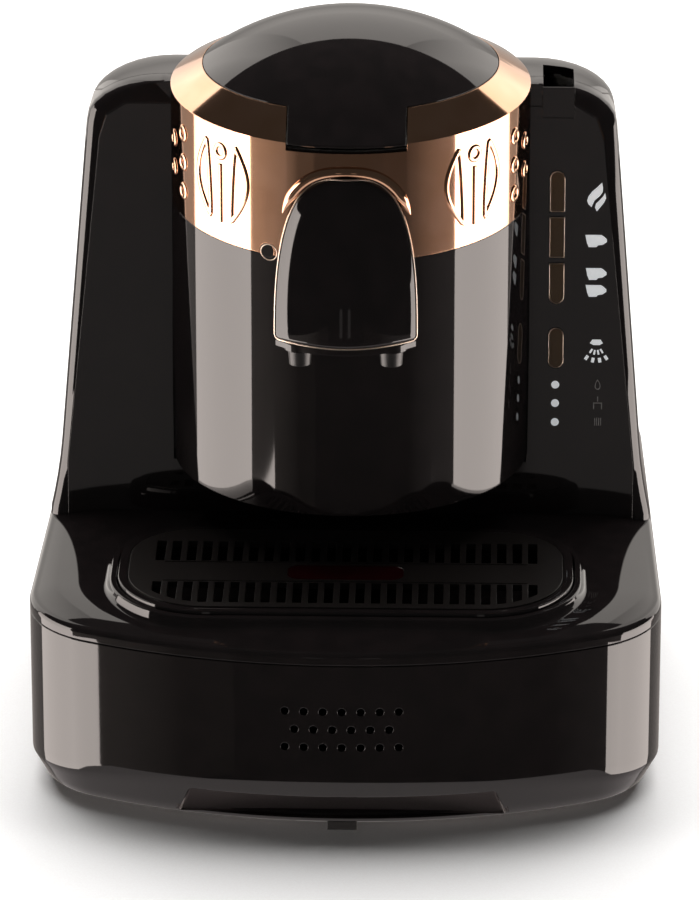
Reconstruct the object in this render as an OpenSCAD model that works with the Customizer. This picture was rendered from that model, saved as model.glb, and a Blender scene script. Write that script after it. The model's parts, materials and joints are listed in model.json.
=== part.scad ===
// Electric Turkish coffee maker: round brewing head with a hinged lid, twin-nozzle spout,
// leaning tower with four keys, drip tray deck, and a lift-out water tank at the back.
// Millimetres. +Z is up, the front faces -Y, and the table is at z = 0.

/* [Base] */
// Widest width of the base
base_w = 250; // [242:1:262]
// Depth from the bowed front to the back
base_d = 262; // [256:1:272]
// Radius of the bowed front, seen from above
front_bow_r = 250; // [220:5:400]
// Radius of the two front corners, seen from above
front_corner_r = 40; // [30:1:48]
// Width of the base along its back
rear_w = 240; // [232:1:244]
// Radius of the two rear corners, seen from above
rear_corner_r = 35; // [25:1:42]
// Underside of the base above the table
under_z = 3.5; // [2.5:0.5:5]
// Height of the crease in the front wall, at the middle
crease_z = 23; // [20:1:28]
// How far the wall leans in below the crease
crease_in = 5; // [3:0.5:7]
// Height of the seam between the base and the deck
seam_z = 73; // [70:1:76]
// Height of the deck
deck_z = 81.4; // [80:0.2:84]
// Radius of the deck's outer edge
deck_edge_r = 2.5; // [1.5:0.5:4]
// How far the deck's border falls to its edge
deck_fall = 3; // [2:0.2:4]
// Width of the border that falls
fall_w = 24; // [16:1:25]
// Wall thickness of the moulded shells
wall = 2.5; // [2:0.1:3]
// Diameter of one hole in front of the loudspeaker
sound_hole_d = 3.3; // [2.5:0.1:4.2]
// Distance between neighbouring loudspeaker holes
sound_pitch = 7.4; // [6.5:0.1:8]
// Height of the middle row of loudspeaker holes
sound_z = 45.8; // [42:0.2:50]

/* [Head] */
// Distance of the head's axis behind the middle of the base
head_y = 11.5; // [10:0.5:13]
// Outer diameter of the brewing head
head_d = 143; // [140:1:144]
// Bottom of the head's drum above the table
drum_z = 106; // [104:1:110]
// Lower edge of the metal band, on the head's axis
band_z = 217.2; // [212:0.2:220]
// Rim where the band's chamfer starts, on the head's axis
rim_z = 264; // [262:0.2:265]
// Height of the lid's edge
lid_z = 271.7; // [271:0.1:274]
// Diameter of the lid
lid_d = 117; // [114:1:118]
// Rise of the domed lid over its edge
dome_h = 18.6; // [14:0.2:22]
// Width of the lid's finger tab
tab_w = 46; // [36:1:52]
// Thickness of the sheet metal band
band_t = 1.2; // [0.8:0.1:1.5]
// Forward tilt of the band's lower edge
band_rake = 3; // [0:0.5:4]
// Forward tilt of the rim above the band
rim_rake = 1.6; // [0:0.2:2]

/* [Spout] */
// Width of the spout
spout_w = 56.4; // [50:0.2:60]
// Top of the spout's arch
spout_top_z = 249; // [246:0.5:251]
// Lower edge of the spout cover
spout_z = 184; // [182:0.5:188]
// Reach of the spout in front of the head's axis
spout_reach = 91; // [88:0.5:94]
// Outer diameter of a nozzle
nozzle_d = 9.6; // [8:0.2:11]
// Distance between the two nozzles
nozzle_gap = 35.6; // [32:0.2:38]
// Lower end of the nozzles
nozzle_z = 174.5; // [172:0.5:177]

/* [Tower] */
// Top of the tower
tower_z = 257.5; // [256:0.5:259]
// Half width of the tower's sides where they would meet its top
tower_hw = 105; // [103:0.5:107]
// Sideways draft of the tower, in mm per mm of height
side_draft = 0.083; // [0.07:0.001:0.09]
// Lean of the front face, in mm per mm of height
front_lean = 0.142; // [0.12:0.002:0.15]
// Foot of the front face behind the middle of the base
face_y = 1.5; // [0:0.5:3]
// Radius of the tower's front edges
face_edge_r = 6; // [4:0.5:8]
// Radius of the arc that rounds the top down to the back
back_arc_r = 171; // [165:1:180]
// Seam in front of the tank lid
lid_seam_y = 36; // [34:0.5:38]

/* [Keys] */
// Width of a key
key_w = 6.4; // [5:0.2:7.4]
// Distance of the keys from the middle of the machine
key_x = 82.7; // [81:0.1:84]
// How far a key can be pressed
key_travel = 1.5; // [1:0.1:2]
// Diameter of an indicator lens
lamp_d = 3.2; // [2.4:0.1:4]

/* [Tray] */
// Width of the drip grille
grille_w = 168; // [160:1:174]
// Distance between neighbouring slots
slot_pitch = 6.17; // [5.6:0.01:7]
// Width of one slot
slot_w = 3.7; // [3:0.1:4.2]
// Length of one slot
slot_l = 19.4; // [16:0.2:21]
// Height of the raised frame around the tray, over the deck
frame_h = 3.4; // [2.6:0.2:4.2]

/* [Tank] */
// Front wall of the water tank behind the middle of the base
tank_y = 88; // [87:0.5:90]
// Floor of the water tank
tank_z = 96; // [94:0.5:98]
// Wall of the water tank
tank_wall = 2.4; // [2:0.1:3]

/* [Hidden] */

fit = 0.3;          // gap between parts that lift, swing or press past each other
slip = 0.05;        // radial gap of a pin in its bore
eps = 0.01;         // overlap that keeps a cut clean
fine = 96;          // sides of the large round forms

front_y = -base_d / 2;
rear_y = base_d / 2;
head_r = head_d / 2;
lid_r = lid_d / 2;
lean = atan(front_lean);

// ---- outlines seen from above ------------------------------------------------

// Points on a circular arc of n steps
function arc(cx, cy, rx, ry, a0, a1, n) =
  [for (i = [0 : n]) let (a = a0 + (a1 - a0) * i / n) [cx + rx * cos(a), cy + ry * sin(a)]];

// A closed outline from its right half, which runs from front to back
function mirrored(half) =
  concat(half, [for (i = [len(half) - 1 : -1 : 0]) if (abs(half[i][0]) > eps) [-half[i][0], half[i][1]]]);

// Outline of the base, drawn in by d: bowed front, round corners, tapering sides
function base_outline(d) =
  let (
    cx = base_w / 2 - front_corner_r,
    bow_y = front_y + front_bow_r,
    cy = bow_y - sqrt(pow(front_bow_r - front_corner_r, 2) - cx * cx),
    rx = rear_w / 2 - rear_corner_r,
    ry = rear_y - rear_corner_r,
    a_front = atan2(cy - bow_y, cx),
    a_side = atan2(ry - cy, rx - cx) - acos((front_corner_r - rear_corner_r) / norm([rx - cx, ry - cy]))
  )
  mirrored(concat(
    arc(0, bow_y, front_bow_r - d, front_bow_r - d, -90, a_front, 7),
    arc(cx, cy, front_corner_r - d, front_corner_r - d, a_front + 6, a_side, 8),
    arc(rx, ry, rear_corner_r - d, rear_corner_r - d, a_side + 4, 90, 6)));

// Outline with straight sides and elliptical corners
function pad_outline(hw, y0, y1, r0, r1, n = 8) =
  mirrored(concat(
    arc(hw - r0, y0 + r0, r0, r0, -90, 0, n),
    arc(hw - r1, y1 - r1, r1, r1, 0, 90, n)));

// ---- lofted forms ---------------------------------------------------------------

// A solid through a stack of equally long rings of 3D points, closed at both ends
module loft(rings) {
  n = len(rings[0]);
  m = len(rings);
  polyhedron(
    points = [for (r = rings) for (p = r) p],
    faces = concat(
      [[for (i = [0 : n - 1]) i]],
      [for (k = [0 : m - 2]) for (i = [0 : n - 1])
        [k * n + i, (k + 1) * n + (i + 1) % n, k * n + (i + 1) % n]],
      [for (k = [0 : m - 2]) for (i = [0 : n - 1])
        [k * n + i, (k + 1) * n + i, (k + 1) * n + (i + 1) % n]],
      [[for (i = [n - 1 : -1 : 0]) (m - 1) * n + i]]),
    convexity = 6);
}

// A closed ring whose section runs through radius, height and forward tilt
module tilted_ring(section) {
  m = len(section);
  polyhedron(
    points = [for (s = section) for (i = [0 : fine - 1])
      let (a = 360 * i / fine)
      [s[0] * cos(a), s[0] * sin(a), s[1] + s[0] * sin(a) * tan(s[2])]],
    faces = [for (k = [0 : m - 1]) for (i = [0 : fine - 1]) for (half = [0, 1])
      let (a = k * fine + i, b = k * fine + (i + 1) % fine,
           c = ((k + 1) % m) * fine + (i + 1) % fine, d = ((k + 1) % m) * fine + i)
      half == 0 ? [a, c, b] : [a, d, c]],
    convexity = 6);
}

// One outline at one height
function at_z(outline, z) = [for (p = outline) [p[0], p[1], z]];

// A side view, given as points of Y and Z, extruded across the machine
module across(points, width) {
  translate([-width / 2, 0, 0])
    rotate([90, 0, 90])
      linear_extrude(width) polygon(points);
}

// Direction of a route at its point i
function unit(v) = v / norm(v);
function heading(route, i) =
  let (n = len(route) - 1)
  unit((i > 0 ? unit(route[i] - route[i - 1]) : [0, 0, 0])
       + (i < n ? unit(route[i + 1] - route[i]) : [0, 0, 0]));

// A hose swept along the given points
module hose(route, d, sides = 10) {
  loft([for (i = [0 : len(route) - 1])
    let (t = heading(route, i),
         u = unit(cross(abs(t[2]) > 0.9 ? [0, 1, 0] : [0, 0, 1], t)),
         v = cross(t, u))
    [for (k = [0 : sides - 1]) let (a = 360 * k / sides) route[i] + d / 2 * (cos(a) * u + sin(a) * v)]]);
}

// ---- base ------------------------------------------------------------------------

// Height of the crease: it sinks in a long arc from the middle to the sides
function crease_at(x, y) = max(under_z + 6.5, crease_z - x * x / 1640 - max(0, y - front_y - 70) * 0.1);

module base_form(d, z0, z1) {
  low = base_outline(crease_in + d);
  side = base_outline(d);
  loft([
    at_z(low, z0),
    [for (p = side) [p[0], p[1], crease_at(p[0], p[1])]],
    at_z(side, z1)]);
}

plate_t = 2.5;
plate_top = under_z + plate_t;
vent_w = 5;
vent_pitch = 12;
module base_plate() {
  color("dimgray") difference() {
    translate([0, 0, under_z])
      linear_extrude(plate_t) polygon(base_outline(crease_in + wall + fit));
    for (p = screw_places) translate([p[0], p[1], 0]) cylinder(d = screw_d + 0.4, h = 20, $fn = 24);
    for (i = [0 : 4])
      translate([-60 + i * vent_pitch, rear_y - 35, under_z - 1]) cube([vent_w, 24, plate_t + 2]);
    for (p = foot_places) translate([p[0], p[1], 0]) cylinder(d = foot_stem_d + 2 * slip, h = 20, $fn = 32);
  }
}

screw_places = [for (y = [front_y + 51, rear_y - 47]) for (x = [-78, 78]) [x, y]];
foot_places = [for (y = [front_y + 59, rear_y - 31]) for (x = [-90, 90]) [x, y]];
foot_d = 18;
foot_stem_d = 9;
boss_d = 8;
boss_h = 22;

// Recess under the crease where fingers lift the machine
grip_w = 124;
grip_z0 = 8.5;
grip_z1 = 20.5;
grip_r = 4;
grip_depth = 14;
module base_shell() {
  color([0.04, 0.04, 0.04]) difference() {
    union() {
      difference() {
        base_form(0, under_z, seam_z);
        base_form(wall, under_z - 2, seam_z + 1);
        translate([-grip_w / 2 + grip_r, front_y - 20, grip_z0])
          cube([grip_w - 2 * grip_r, 50, grip_z1 - grip_z0]);
        translate([-grip_w / 2, front_y - 20, grip_z0]) cube([grip_w, 50, grip_z1 - grip_z0 - grip_r]);
        for (s = [-1, 1]) translate([s * (grip_w / 2 - grip_r), front_y - 20, grip_z1 - grip_r])
          rotate([-90, 0, 0]) cylinder(r = grip_r, h = 50, $fn = 32);
        sound_holes();
        gland_hole();
        switch_hole();
      }
      // pocket behind the grip recess
      intersection() {
        base_form(0.5, under_z, seam_z);
        translate([-grip_w / 2 - wall, front_y, grip_z0 - 2])
          difference() {
            cube([grip_w + 2 * wall, grip_depth, grip_z1 - grip_z0 + 4]);
            translate([wall, -1, 2]) cube([grip_w, grip_depth + 1 - wall, grip_z1 - grip_z0]);
          }
      }
      for (p = screw_places)
        translate([p[0], p[1], plate_top]) cylinder(d = boss_d, h = boss_h, $fn = 32);
      // ribs between the screw bosses and the side walls
      intersection() {
        base_form(0.5, under_z, seam_z);
        for (p = screw_places) translate([p[0] > 0 ? p[0] : p[0] - 60, p[1] - 1, plate_top])
          cube([60, 2, boss_h]);
      }
    }
    for (p = screw_places)
      translate([p[0], p[1], plate_top - 1]) cylinder(d = screw_d, h = 15, $fn = 24);
  }
}

// Loudspeaker holes: two rows of seven with a row of six between them
module sound_holes() {
  for (row = [-1, 0, 1])
    let (count = row == 0 ? 6 : 7)
      for (i = [0 : count - 1])
        translate([(i - (count - 1) / 2) * sound_pitch, front_y - 5, sound_z + row * sound_pitch * 1.03])
          rotate([-90, 0, 0]) cylinder(d = sound_hole_d, h = 16, $fn = 24);
}

screw_d = 3;
module base_screws() {
  color("silver") for (p = screw_places) translate([p[0], p[1], 0]) {
    translate([0, 0, under_z - 1.6]) cylinder(d = 6, h = 1.6, $fn = 24);
    translate([0, 0, under_z - 0.1]) cylinder(d = screw_d - 2 * slip, h = 14, $fn = 24);
  }
}

module rubber_feet() {
  color([0.12, 0.12, 0.12]) for (p = foot_places) translate([p[0], p[1], 0]) {
    cylinder(d1 = foot_d - 2, d2 = foot_d, h = under_z, $fn = 48);
    translate([0, 0, under_z - eps]) cylinder(d = foot_stem_d, h = plate_t, $fn = 32);
  }
}

front_foot_w = 11.5;
module front_foot() {
  color([0.12, 0.12, 0.12])
    translate([-front_foot_w / 2, front_y + crease_in + 0.6, 0]) cube([front_foot_w, 11, under_z]);
}

// ---- loudspeaker, mains parts ------------------------------------------------------

speaker_d = 40;
speaker_y = front_y + grip_depth + fit;
bracket_w = 54;
bracket_t = 3;
module speaker() {
  color([0.2, 0.2, 0.22]) translate([0, speaker_y, sound_z]) rotate([90, 0, 0]) {
    difference() {
      cylinder(d = speaker_d, h = 4, $fn = 64);
      translate([0, 0, 1.2]) cylinder(d1 = 16, d2 = speaker_d - 5, h = 2.81, $fn = 64);
    }
  }
}

module speaker_bracket() {
  color("gray") {
    difference() {
      translate([-bracket_w / 2, speaker_y, plate_top])
        cube([bracket_w, bracket_t, sound_z + 24 - plate_top]);
      translate([0, speaker_y - 1, sound_z]) rotate([-90, 0, 0])
        cylinder(d = 22, h = bracket_t + 2, $fn = 48);
    }
    translate([-bracket_w / 2, speaker_y, plate_top]) cube([bracket_w, 14, bracket_t]);
  }
}

board_t = 1.6;
board_stand = 8;
module power_board() {
  parts_z = plate_top + board_stand + board_t;
  color("darkgreen") translate([18, 14, plate_top + board_stand]) cube([78, 60, board_t]);
  color("gold") {
    translate([28, 24, parts_z]) cube([28, 24, 22]);
    translate([66, 22, parts_z]) cylinder(d = 16, h = 24, $fn = 32);
    translate([66, 44, parts_z]) cube([18, 20, 14]);
  }
  color("white") for (x = [24, 90]) for (y = [20, 68])
    translate([x, y, plate_top]) cylinder(d = 6, h = board_stand, $fn = 24);
}

gland_x = -70;
gland_z = 24;
gland_d = 13;
gland_flange = 6.5;
cord_d = 7;
module gland_hole() {
  translate([gland_x, rear_y - 20, gland_z]) rotate([-90, 0, 0]) cylinder(d = gland_d, h = 40, $fn = 48);
}
module cord_gland() {
  color([0.1, 0.1, 0.1]) translate([gland_x, rear_y - wall - gland_flange, gland_z]) rotate([-90, 0, 0])
    difference() {
    union() {
      cylinder(d = gland_d - 2 * slip, h = gland_flange + wall, $fn = 48);
      cylinder(d = gland_d + 4, h = gland_flange, $fn = 48);
    }
    translate([0, 0, -1]) cylinder(d = cord_d, h = 20, $fn = 32);
  }
}

// Rocker switch at the back of the base
switch_x = 62;
switch_z = 40;
switch_w = 19;
switch_h = 13;
switch_rim = 2;
rocker_y = rear_y - 4;
rocker_pin_d = 2.4;
module switch_hole() {
  translate([switch_x - switch_w / 2 - switch_rim, rear_y - 10, switch_z - switch_h / 2 - switch_rim])
    cube([switch_w + 2 * switch_rim, 20, switch_h + 2 * switch_rim]);
}
module switch_frame() {
  color([0.1, 0.1, 0.1]) difference() {
    union() {
      translate([switch_x - switch_w / 2 - switch_rim + slip, rear_y - 18,
          switch_z - switch_h / 2 - switch_rim + slip])
        cube([switch_w + 2 * (switch_rim - slip), 18, switch_h + 2 * (switch_rim - slip)]);
      // flange behind the shell's wall
      translate([switch_x - switch_w / 2 - switch_rim - 1.5, rear_y - wall - 3,
          switch_z - switch_h / 2 - switch_rim - 1.5])
        cube([switch_w + 2 * switch_rim + 3, 3 - slip, switch_h + 2 * switch_rim + 3]);
    }
    translate([switch_x - switch_w / 2, rear_y - 12, switch_z - switch_h / 2])
      cube([switch_w, 20, switch_h]);
    translate([switch_x - switch_w / 2 - 1.4, rocker_y, switch_z]) rotate([0, 90, 0])
      cylinder(d = rocker_pin_d + 2 * slip, h = switch_w + 2.8, $fn = 32);
  }
}
module power_switch() {
  color([0.08, 0.08, 0.08]) {
    intersection() {
      translate([switch_x - switch_w / 2 + fit, rocker_y, switch_z])
        rotate([90, 0, 90]) linear_extrude(switch_w - 2 * fit)
          polygon([[3.6, -5.6], [2.6, 0], [1.6, 5.2], [-5, 4.4], [-6, 0], [-5, -4.4]]);
      translate([switch_x, rocker_y, switch_z]) rotate([0, 90, 0])
        cylinder(r = switch_h / 2 - fit, h = switch_w, center = true, $fn = 64);
    }
    translate([switch_x - switch_w / 2 - 1, rocker_y, switch_z]) rotate([0, 90, 0])
      cylinder(d = rocker_pin_d, h = switch_w + 2, $fn = 32);
  }
}

// ---- deck and drip tray -------------------------------------------------------------

grille_y0 = front_y + 28.1;
grille_y1 = grille_y0 + 72;
grille_r = 30;
grille_t = 2.6;
rim_w = 6;
tray_z = 69;
tray_wall = 1.8;
well_gap = 0.6;
frame_w = 3;          // width of the frame's flat top
frame_foot = 5.5;     // width of the frame where it meets the deck
frame_z = deck_z + frame_h;

function tray_outline(d) =
  pad_outline(grille_w / 2 + rim_w - d, grille_y0 - rim_w + d, grille_y1 + rim_w - d,
              grille_r + rim_w - d, grille_r - d, 10);

// The deck's form, drawn in by d: a rounded edge, and a border that rises to the flat middle
module deck_form(d) {
  steps = 5;
  edge_z = deck_z - deck_fall - d;
  loft(concat(
    [at_z(base_outline(d), seam_z)],
    [for (i = [0 : steps - 1]) let (a = 80 * i / steps)
      at_z(base_outline(d + deck_edge_r * (1 - cos(a))), edge_z - deck_edge_r * (1 - sin(a)))],
    [for (i = [0 : steps]) let (t = i / steps)
      at_z(base_outline(d + deck_edge_r + (fall_w - deck_edge_r) * t),
          edge_z + deck_fall * (1 - pow(1 - t, 2)))]));
}

module deck() {
  color([0.04, 0.04, 0.04]) difference() {
    union() {
      difference() {
        deck_form(0);
        difference() {
          translate([0, 0, -eps]) deck_form(wall);
          translate([0, 0, tray_z - wall - fit])
            linear_extrude(30) polygon(tray_outline(-well_gap - wall));
        }
      }
      // raised frame around the well
      loft([at_z(tray_outline(-frame_foot), deck_z - 3.5), at_z(tray_outline(-frame_foot), deck_z + 0.4),
            at_z(tray_outline(-frame_w), frame_z)]);
      // floor and wall of the tray well below the seam
      translate([0, 0, tray_z - wall - fit])
        linear_extrude(seam_z - tray_z + wall + fit) polygon(tray_outline(-well_gap - wall));
      // rib that centres the deck in the base
      difference() {
        translate([0, 0, seam_z - 4]) linear_extrude(6) polygon(base_outline(wall + fit));
        translate([0, 0, seam_z - 5]) linear_extrude(8) polygon(base_outline(wall + fit + 1.6));
      }
    }
    translate([0, 0, tray_z - fit]) linear_extrude(30) polygon(tray_outline(-well_gap));
    // way for the hoses and wires under the tower
    translate([-88, 20, seam_z - 1]) cube([176, 58, 20]);
    translate([dock_x, dock_y, seam_z]) cylinder(d = spigot_d + 1, h = 20, $fn = 32);
  }
}

tray_proud = 1.4;     // the tray's rim stands over the frame by this much
grille_proud = 1.6;   // and the grille by this much
grille_z = frame_z + grille_proud - grille_t;
grille_seat = 2.2;    // width of the ledge that carries the grille
module drip_tray() {
  color([0.05, 0.05, 0.05]) difference() {
    translate([0, 0, tray_z]) linear_extrude(frame_z + tray_proud - tray_z) polygon(tray_outline(0));
    translate([0, 0, tray_z + tray_wall]) linear_extrude(30) polygon(tray_outline(rim_w));
    translate([0, 0, grille_z]) linear_extrude(30) polygon(tray_outline(rim_w - grille_seat));
  }
}

function grille_outline(d) = tray_outline(rim_w - grille_seat + fit + d);

// Middles of the two rows of slots, front and back
row_y = [grille_y0 + 12, grille_y0 + 52.2];
joint_w = 0.8;
module drip_grille() {
  slots = floor((grille_w / 2 - 6) / slot_pitch);
  color([0.1, 0.1, 0.1]) difference() {
    translate([0, 0, grille_z]) linear_extrude(grille_t) polygon(grille_outline(0));
    intersection() {
      for (y = row_y) for (i = [-slots : slots])
        translate([i * slot_pitch - slot_w / 2, y - slot_l / 2, frame_z - 10])
          cube([slot_w, slot_l, 20]);
      translate([0, 0, frame_z - 10]) linear_extrude(20) polygon(grille_outline(4));
    }
    inlay_form(0, inlay_t + 0.2, inlay_t + 2);
    // fine grooves that mark off the middle band
    for (y = [row_y[0] + slot_l / 2 + 1.2, row_y[1] - slot_l / 2 - 1.2])
      translate([-grille_w / 2 + 12, y - joint_w / 2, frame_z + grille_proud - 0.5])
        cube([grille_w - 24, joint_w, 2]);
  }
}

inlay_w = 46;
inlay_h = 14;
inlay_r = 5;
inlay_t = 1;
module inlay_form(gap, depth, h) {
  translate([0, (row_y[0] + row_y[1]) / 2, frame_z + grille_proud - depth]) linear_extrude(h)
    polygon(pad_outline(inlay_w / 2 - gap, -inlay_h / 2 + gap, inlay_h / 2 - gap,
                        inlay_r - gap, inlay_r - gap, 8));
}
module grille_inlay() {
  color([0.25, 0.02, 0.02]) inlay_form(slip, inlay_t + 0.2, inlay_t);
}

// ---- tower ---------------------------------------------------------------------------

crown_a = 30;       // width of the rounding at the tower's upper side edges
crown_b = 16;       // height of that rounding
flare_z = 110;      // the sides start to flare out below this height
flare_k = 0.0027;
back_draft = 0.03;
arc_y = rear_y - 101;    // the back arc starts here
side_taper = (base_w - rear_w) / 2 / (base_d - front_corner_r - rear_corner_r - 18);

function face_at(z) = face_y + (z - deck_z) * front_lean;
function side_at(z) =
  let (h = max(z, deck_z - 1))
  tower_hw + (tower_z - h) * side_draft + flare_k * pow(max(0, flare_z - h), 2);
function crown_at(z) = z > tower_z - crown_b
  ? crown_a * (1 - sqrt(max(0, 1 - pow(1 - (tower_z - z) / crown_b, 2)))) : 0;
function back_at(z) =
  min(rear_y - 2 - (z - deck_z) * back_draft,
      arc_y + sqrt(pow(back_arc_r, 2) - pow(back_arc_r - min(back_arc_r, tower_z - z), 2)));

// Outline of the tower at height z, drawn in by d
function tower_outline(z, d) =
  let (
    zz = min(z, tower_z - 0.02),
    w = side_at(zz) - crown_at(zz) - d,
    yf = face_at(zz) + d,
    yr = back_at(zz) - d,
    t = min(1, (tower_z - zz) / 60),
    cy = max(min(arc_y + 62 * t, yr - 6), yf + face_edge_r + 1),
    w_rear = w - (cy - yf) * side_taper,
    cx = w_rear - 28 - 8 * t
  )
  mirrored(concat(
    arc(w - face_edge_r, yf + face_edge_r, face_edge_r, face_edge_r, -90, 0, 4),
    arc(cx, cy, w_rear - cx, yr - cy, 8, 90, 8)));

tower_foot = deck_z - 5;
tower_levels = [tower_foot, deck_z, 84, 88, 94, 102, 110, 140, 175, 205, 222, 232, 240,
                244.5, 248, 251, 253.5, 255.4, 256.7, 257.35];
// The tower's form, drawn in by d; its inner form leaves out the flattest level under the top
module tower_form(d) {
  levels = [for (z = tower_levels) if (d < 1 || z < tower_z - 0.5) z];
  loft([for (z = levels) at_z(tower_outline(z, d), z > tower_foot ? z - d : z - (d > 0 ? 1 : 0))]);
}

// Zone of the tank lid, drawn in by d: behind the seam and above the sloping joint
joint_z = 250.5;
joint_slope = 0.385;
function joint_at(y) = joint_z - (y - lid_seam_y) * joint_slope;
module lid_zone(d) {
  across([[lid_seam_y + d, joint_at(lid_seam_y) + d], [rear_y + 10, joint_at(rear_y + 10) + d],
          [rear_y + 10, 300], [lid_seam_y + d, 300]], 260);
}
module tank_zone(d) {
  translate([-130, tank_y + d, tank_z + d]) cube([260, 80, 200]);
}

// Finger notch on the right of the tower's top
notch_w = 12.4;
notch_y = 58;
module top_notch() {
  translate([key_x - notch_w / 2, 0, 244]) cube([notch_w, notch_y, 40]);
}

module head_hole(gap, z0) {
  translate([0, head_y, z0]) cylinder(r = head_r + gap, h = 200, $fn = fine);
}

module tower_housing() {
  color([0.05, 0.05, 0.05]) difference() {
    union() {
      difference() {
        tower_form(0);
        tower_form(wall);
        lid_zone(-fit);
        tank_zone(-fit);
      }
      // wall and floor of the tank bay, and the covered top behind the seam
      intersection() {
        tower_form(0.4);
        difference() {
          union() {
            translate([-130, tank_y - fit - wall, deck_z]) cube([260, wall, 180]);
            translate([-130, tank_y - fit - wall, tank_z - fit - wall]) cube([260, 80, wall]);
            across([[lid_seam_y - 3, joint_at(lid_seam_y) - 1 - wall],
                [tank_y, joint_at(tank_y) - 1 - wall],
                    [tank_y, joint_at(tank_y) - 1], [lid_seam_y - 3, joint_at(lid_seam_y) - 1]], 260);
          }
          lid_zone(-0.8);
        }
      }
      // shoulder that the front panel rests on
      intersection() {
        tower_form(0.4);
        panel_slab(panel_t + fit / 2, panel_t + fit / 2 + 2, -2);
      }
    }
    head_hole(fit, drum_z - 3);
    panel_slab(-20, panel_t + fit / 2, -fit / 2);
    panel_slab(-20, 40, 4);
    top_notch();
    dock_hole();
    below_deck();
  }
}
// The deck's form, which cuts the foot of the tower to the deck's surface
module below_deck() { deck_form(0); }

// ---- front panel and keys -----------------------------------------------------------

panel_t = 2.6;
panel_side = 4.5;     // from the tower's side to the panel's edge
panel_top = 250;

// Places children on the leaning front face: local -Y points out of the face
module on_face(x, z) {
  translate([x, face_at(z), z]) rotate([-lean, 0, 0]) children();
}

// Slab parallel to the face between two depths, drawn in by d
module panel_slab(y0, y1, d) {
  foot = tower_foot - deck_z;
  on_face(0, deck_z)
    translate([0, y0, 0]) rotate([90, 0, 0]) mirror([0, 0, 1])
      linear_extrude(y1 - y0) polygon([
        [-side_at(flare_z) + 2.6 + d, foot], [side_at(flare_z) - 2.6 - d, foot],
        [side_at(flare_z) - 2.6 - d, 20],
        [side_at(panel_top) - panel_side - d, panel_top - deck_z - 14],
        [side_at(panel_top) - panel_side - 3 - d, panel_top - deck_z - 5],
        [side_at(panel_top) - panel_side - 11 - d, panel_top - deck_z - d],
        [-side_at(panel_top) + panel_side + 11 + d, panel_top - deck_z - d],
        [-side_at(panel_top) + panel_side + 3 + d, panel_top - deck_z - 5],
        [-side_at(panel_top) + panel_side + d, panel_top - deck_z - 14],
        [-side_at(flare_z) + 2.6 + d, 20]]);
}

// Middle height, length and end shape of each key: [z, length, round top, round bottom]
key_l = 17;
key_rows = [[214, key_l, true, false], [195.4, key_l, false, false],
            [176.6, key_l, false, true], [150.2, key_l, true, true]];
lamp_z = [135, 127.4, 119.6];

// Front view of a key, drawn in by d
module key_shape(row, d) {
  hw = key_w / 2 - d;
  hl = row[1] / 2 - d;
  union() {
    translate([-hw, -hl + (row[3] ? hw : 0)])
      square([2 * hw, 2 * hl - (row[2] ? hw : 0) - (row[3] ? hw : 0)]);
    if (row[2]) translate([0, hl - hw]) circle(r = hw, $fn = 48);
    if (row[3]) translate([0, -hl + hw]) circle(r = hw, $fn = 48);
  }
}
module key_body(row) {
  key_proud = 0.9;
  color([0.42, 0.3, 0.2]) on_face(key_x, row[0]) {
    translate([0, panel_t + 3.4, 0]) rotate([90, 0, 0]) linear_extrude(panel_t + 3.4 + key_proud)
      key_shape(row, 0.15);
    translate([0, panel_t + 0.1 + 1.4, 0]) rotate([90, 0, 0]) linear_extrude(1.4)
      square([key_w + 2.4, row[1] - 1.2], center = true);
  }
}
module boil_key() { key_body(key_rows[0]); }
module one_cup_key() { key_body(key_rows[1]); }
module two_cup_key() { key_body(key_rows[2]); }
module rinse_key() { key_body(key_rows[3]); }

mat_y = panel_t + 3.4 + key_travel + 0.3;
mat_t = 1.2;
board_y = mat_y + mat_t;
post_places = [[74.5, 228], [96, 228], [75, 110], [98, 110]];
module front_panel() {
  color([0.03, 0.03, 0.03]) difference() {
    union() {
      panel_slab(0, panel_t, 0);
      for (p = post_places) on_face(p[0], p[1]) rotate([-90, 0, 0]) cylinder(d = 5, h = board_y, $fn = 24);
    }
    head_hole(fit, drum_z - 3);
    for (row = key_rows) on_face(key_x, row[0])
      translate([0, panel_t + 1, 0]) rotate([90, 0, 0]) linear_extrude(panel_t + 3) key_shape(row, 0);
    for (z = lamp_z) on_face(key_x, z)
      translate([0, -1, 0]) rotate([-90, 0, 0]) cylinder(d = lamp_d + 2 * slip, h = panel_t + 3, $fn = 32);
    top_notch();
    below_deck();
  }
}

module indicator_lenses() {
  color("white") for (z = lamp_z) on_face(key_x, z) rotate([-90, 0, 0])
    cylinder(d = lamp_d, h = board_y, $fn = 32);
}

module control_board() {
  color("darkgreen") on_face(key_x + 3, 167) translate([-13, board_y, -62]) cube([26, board_t, 124]);
  color("black") on_face(key_x + 3, 167) {
    translate([-8, board_y + board_t, -20]) cube([14, 2, 14]);
    translate([-6, board_y + board_t, -50]) cube([12, 8, 10]);
  }
}
module key_mat() {
  color("gray") {
    on_face(key_x, 182) translate([-6.5, mat_y, -42]) cube([13, mat_t, 84]);
    for (row = key_rows) on_face(key_x, row[0]) translate([0, mat_y - 0.2, 0])
      rotate([-90, 0, 0]) cylinder(d = 5, h = 0.3, $fn = 24);
  }
}

// ---- brewing head ---------------------------------------------------------------------

drum_wall = 2.6;
module rake_cut(z, rake) {
  translate([0, head_y, z]) rotate([rake, 0, 0]) translate([-150, -150, 0]) cube([300, 300, 200]);
}

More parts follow.
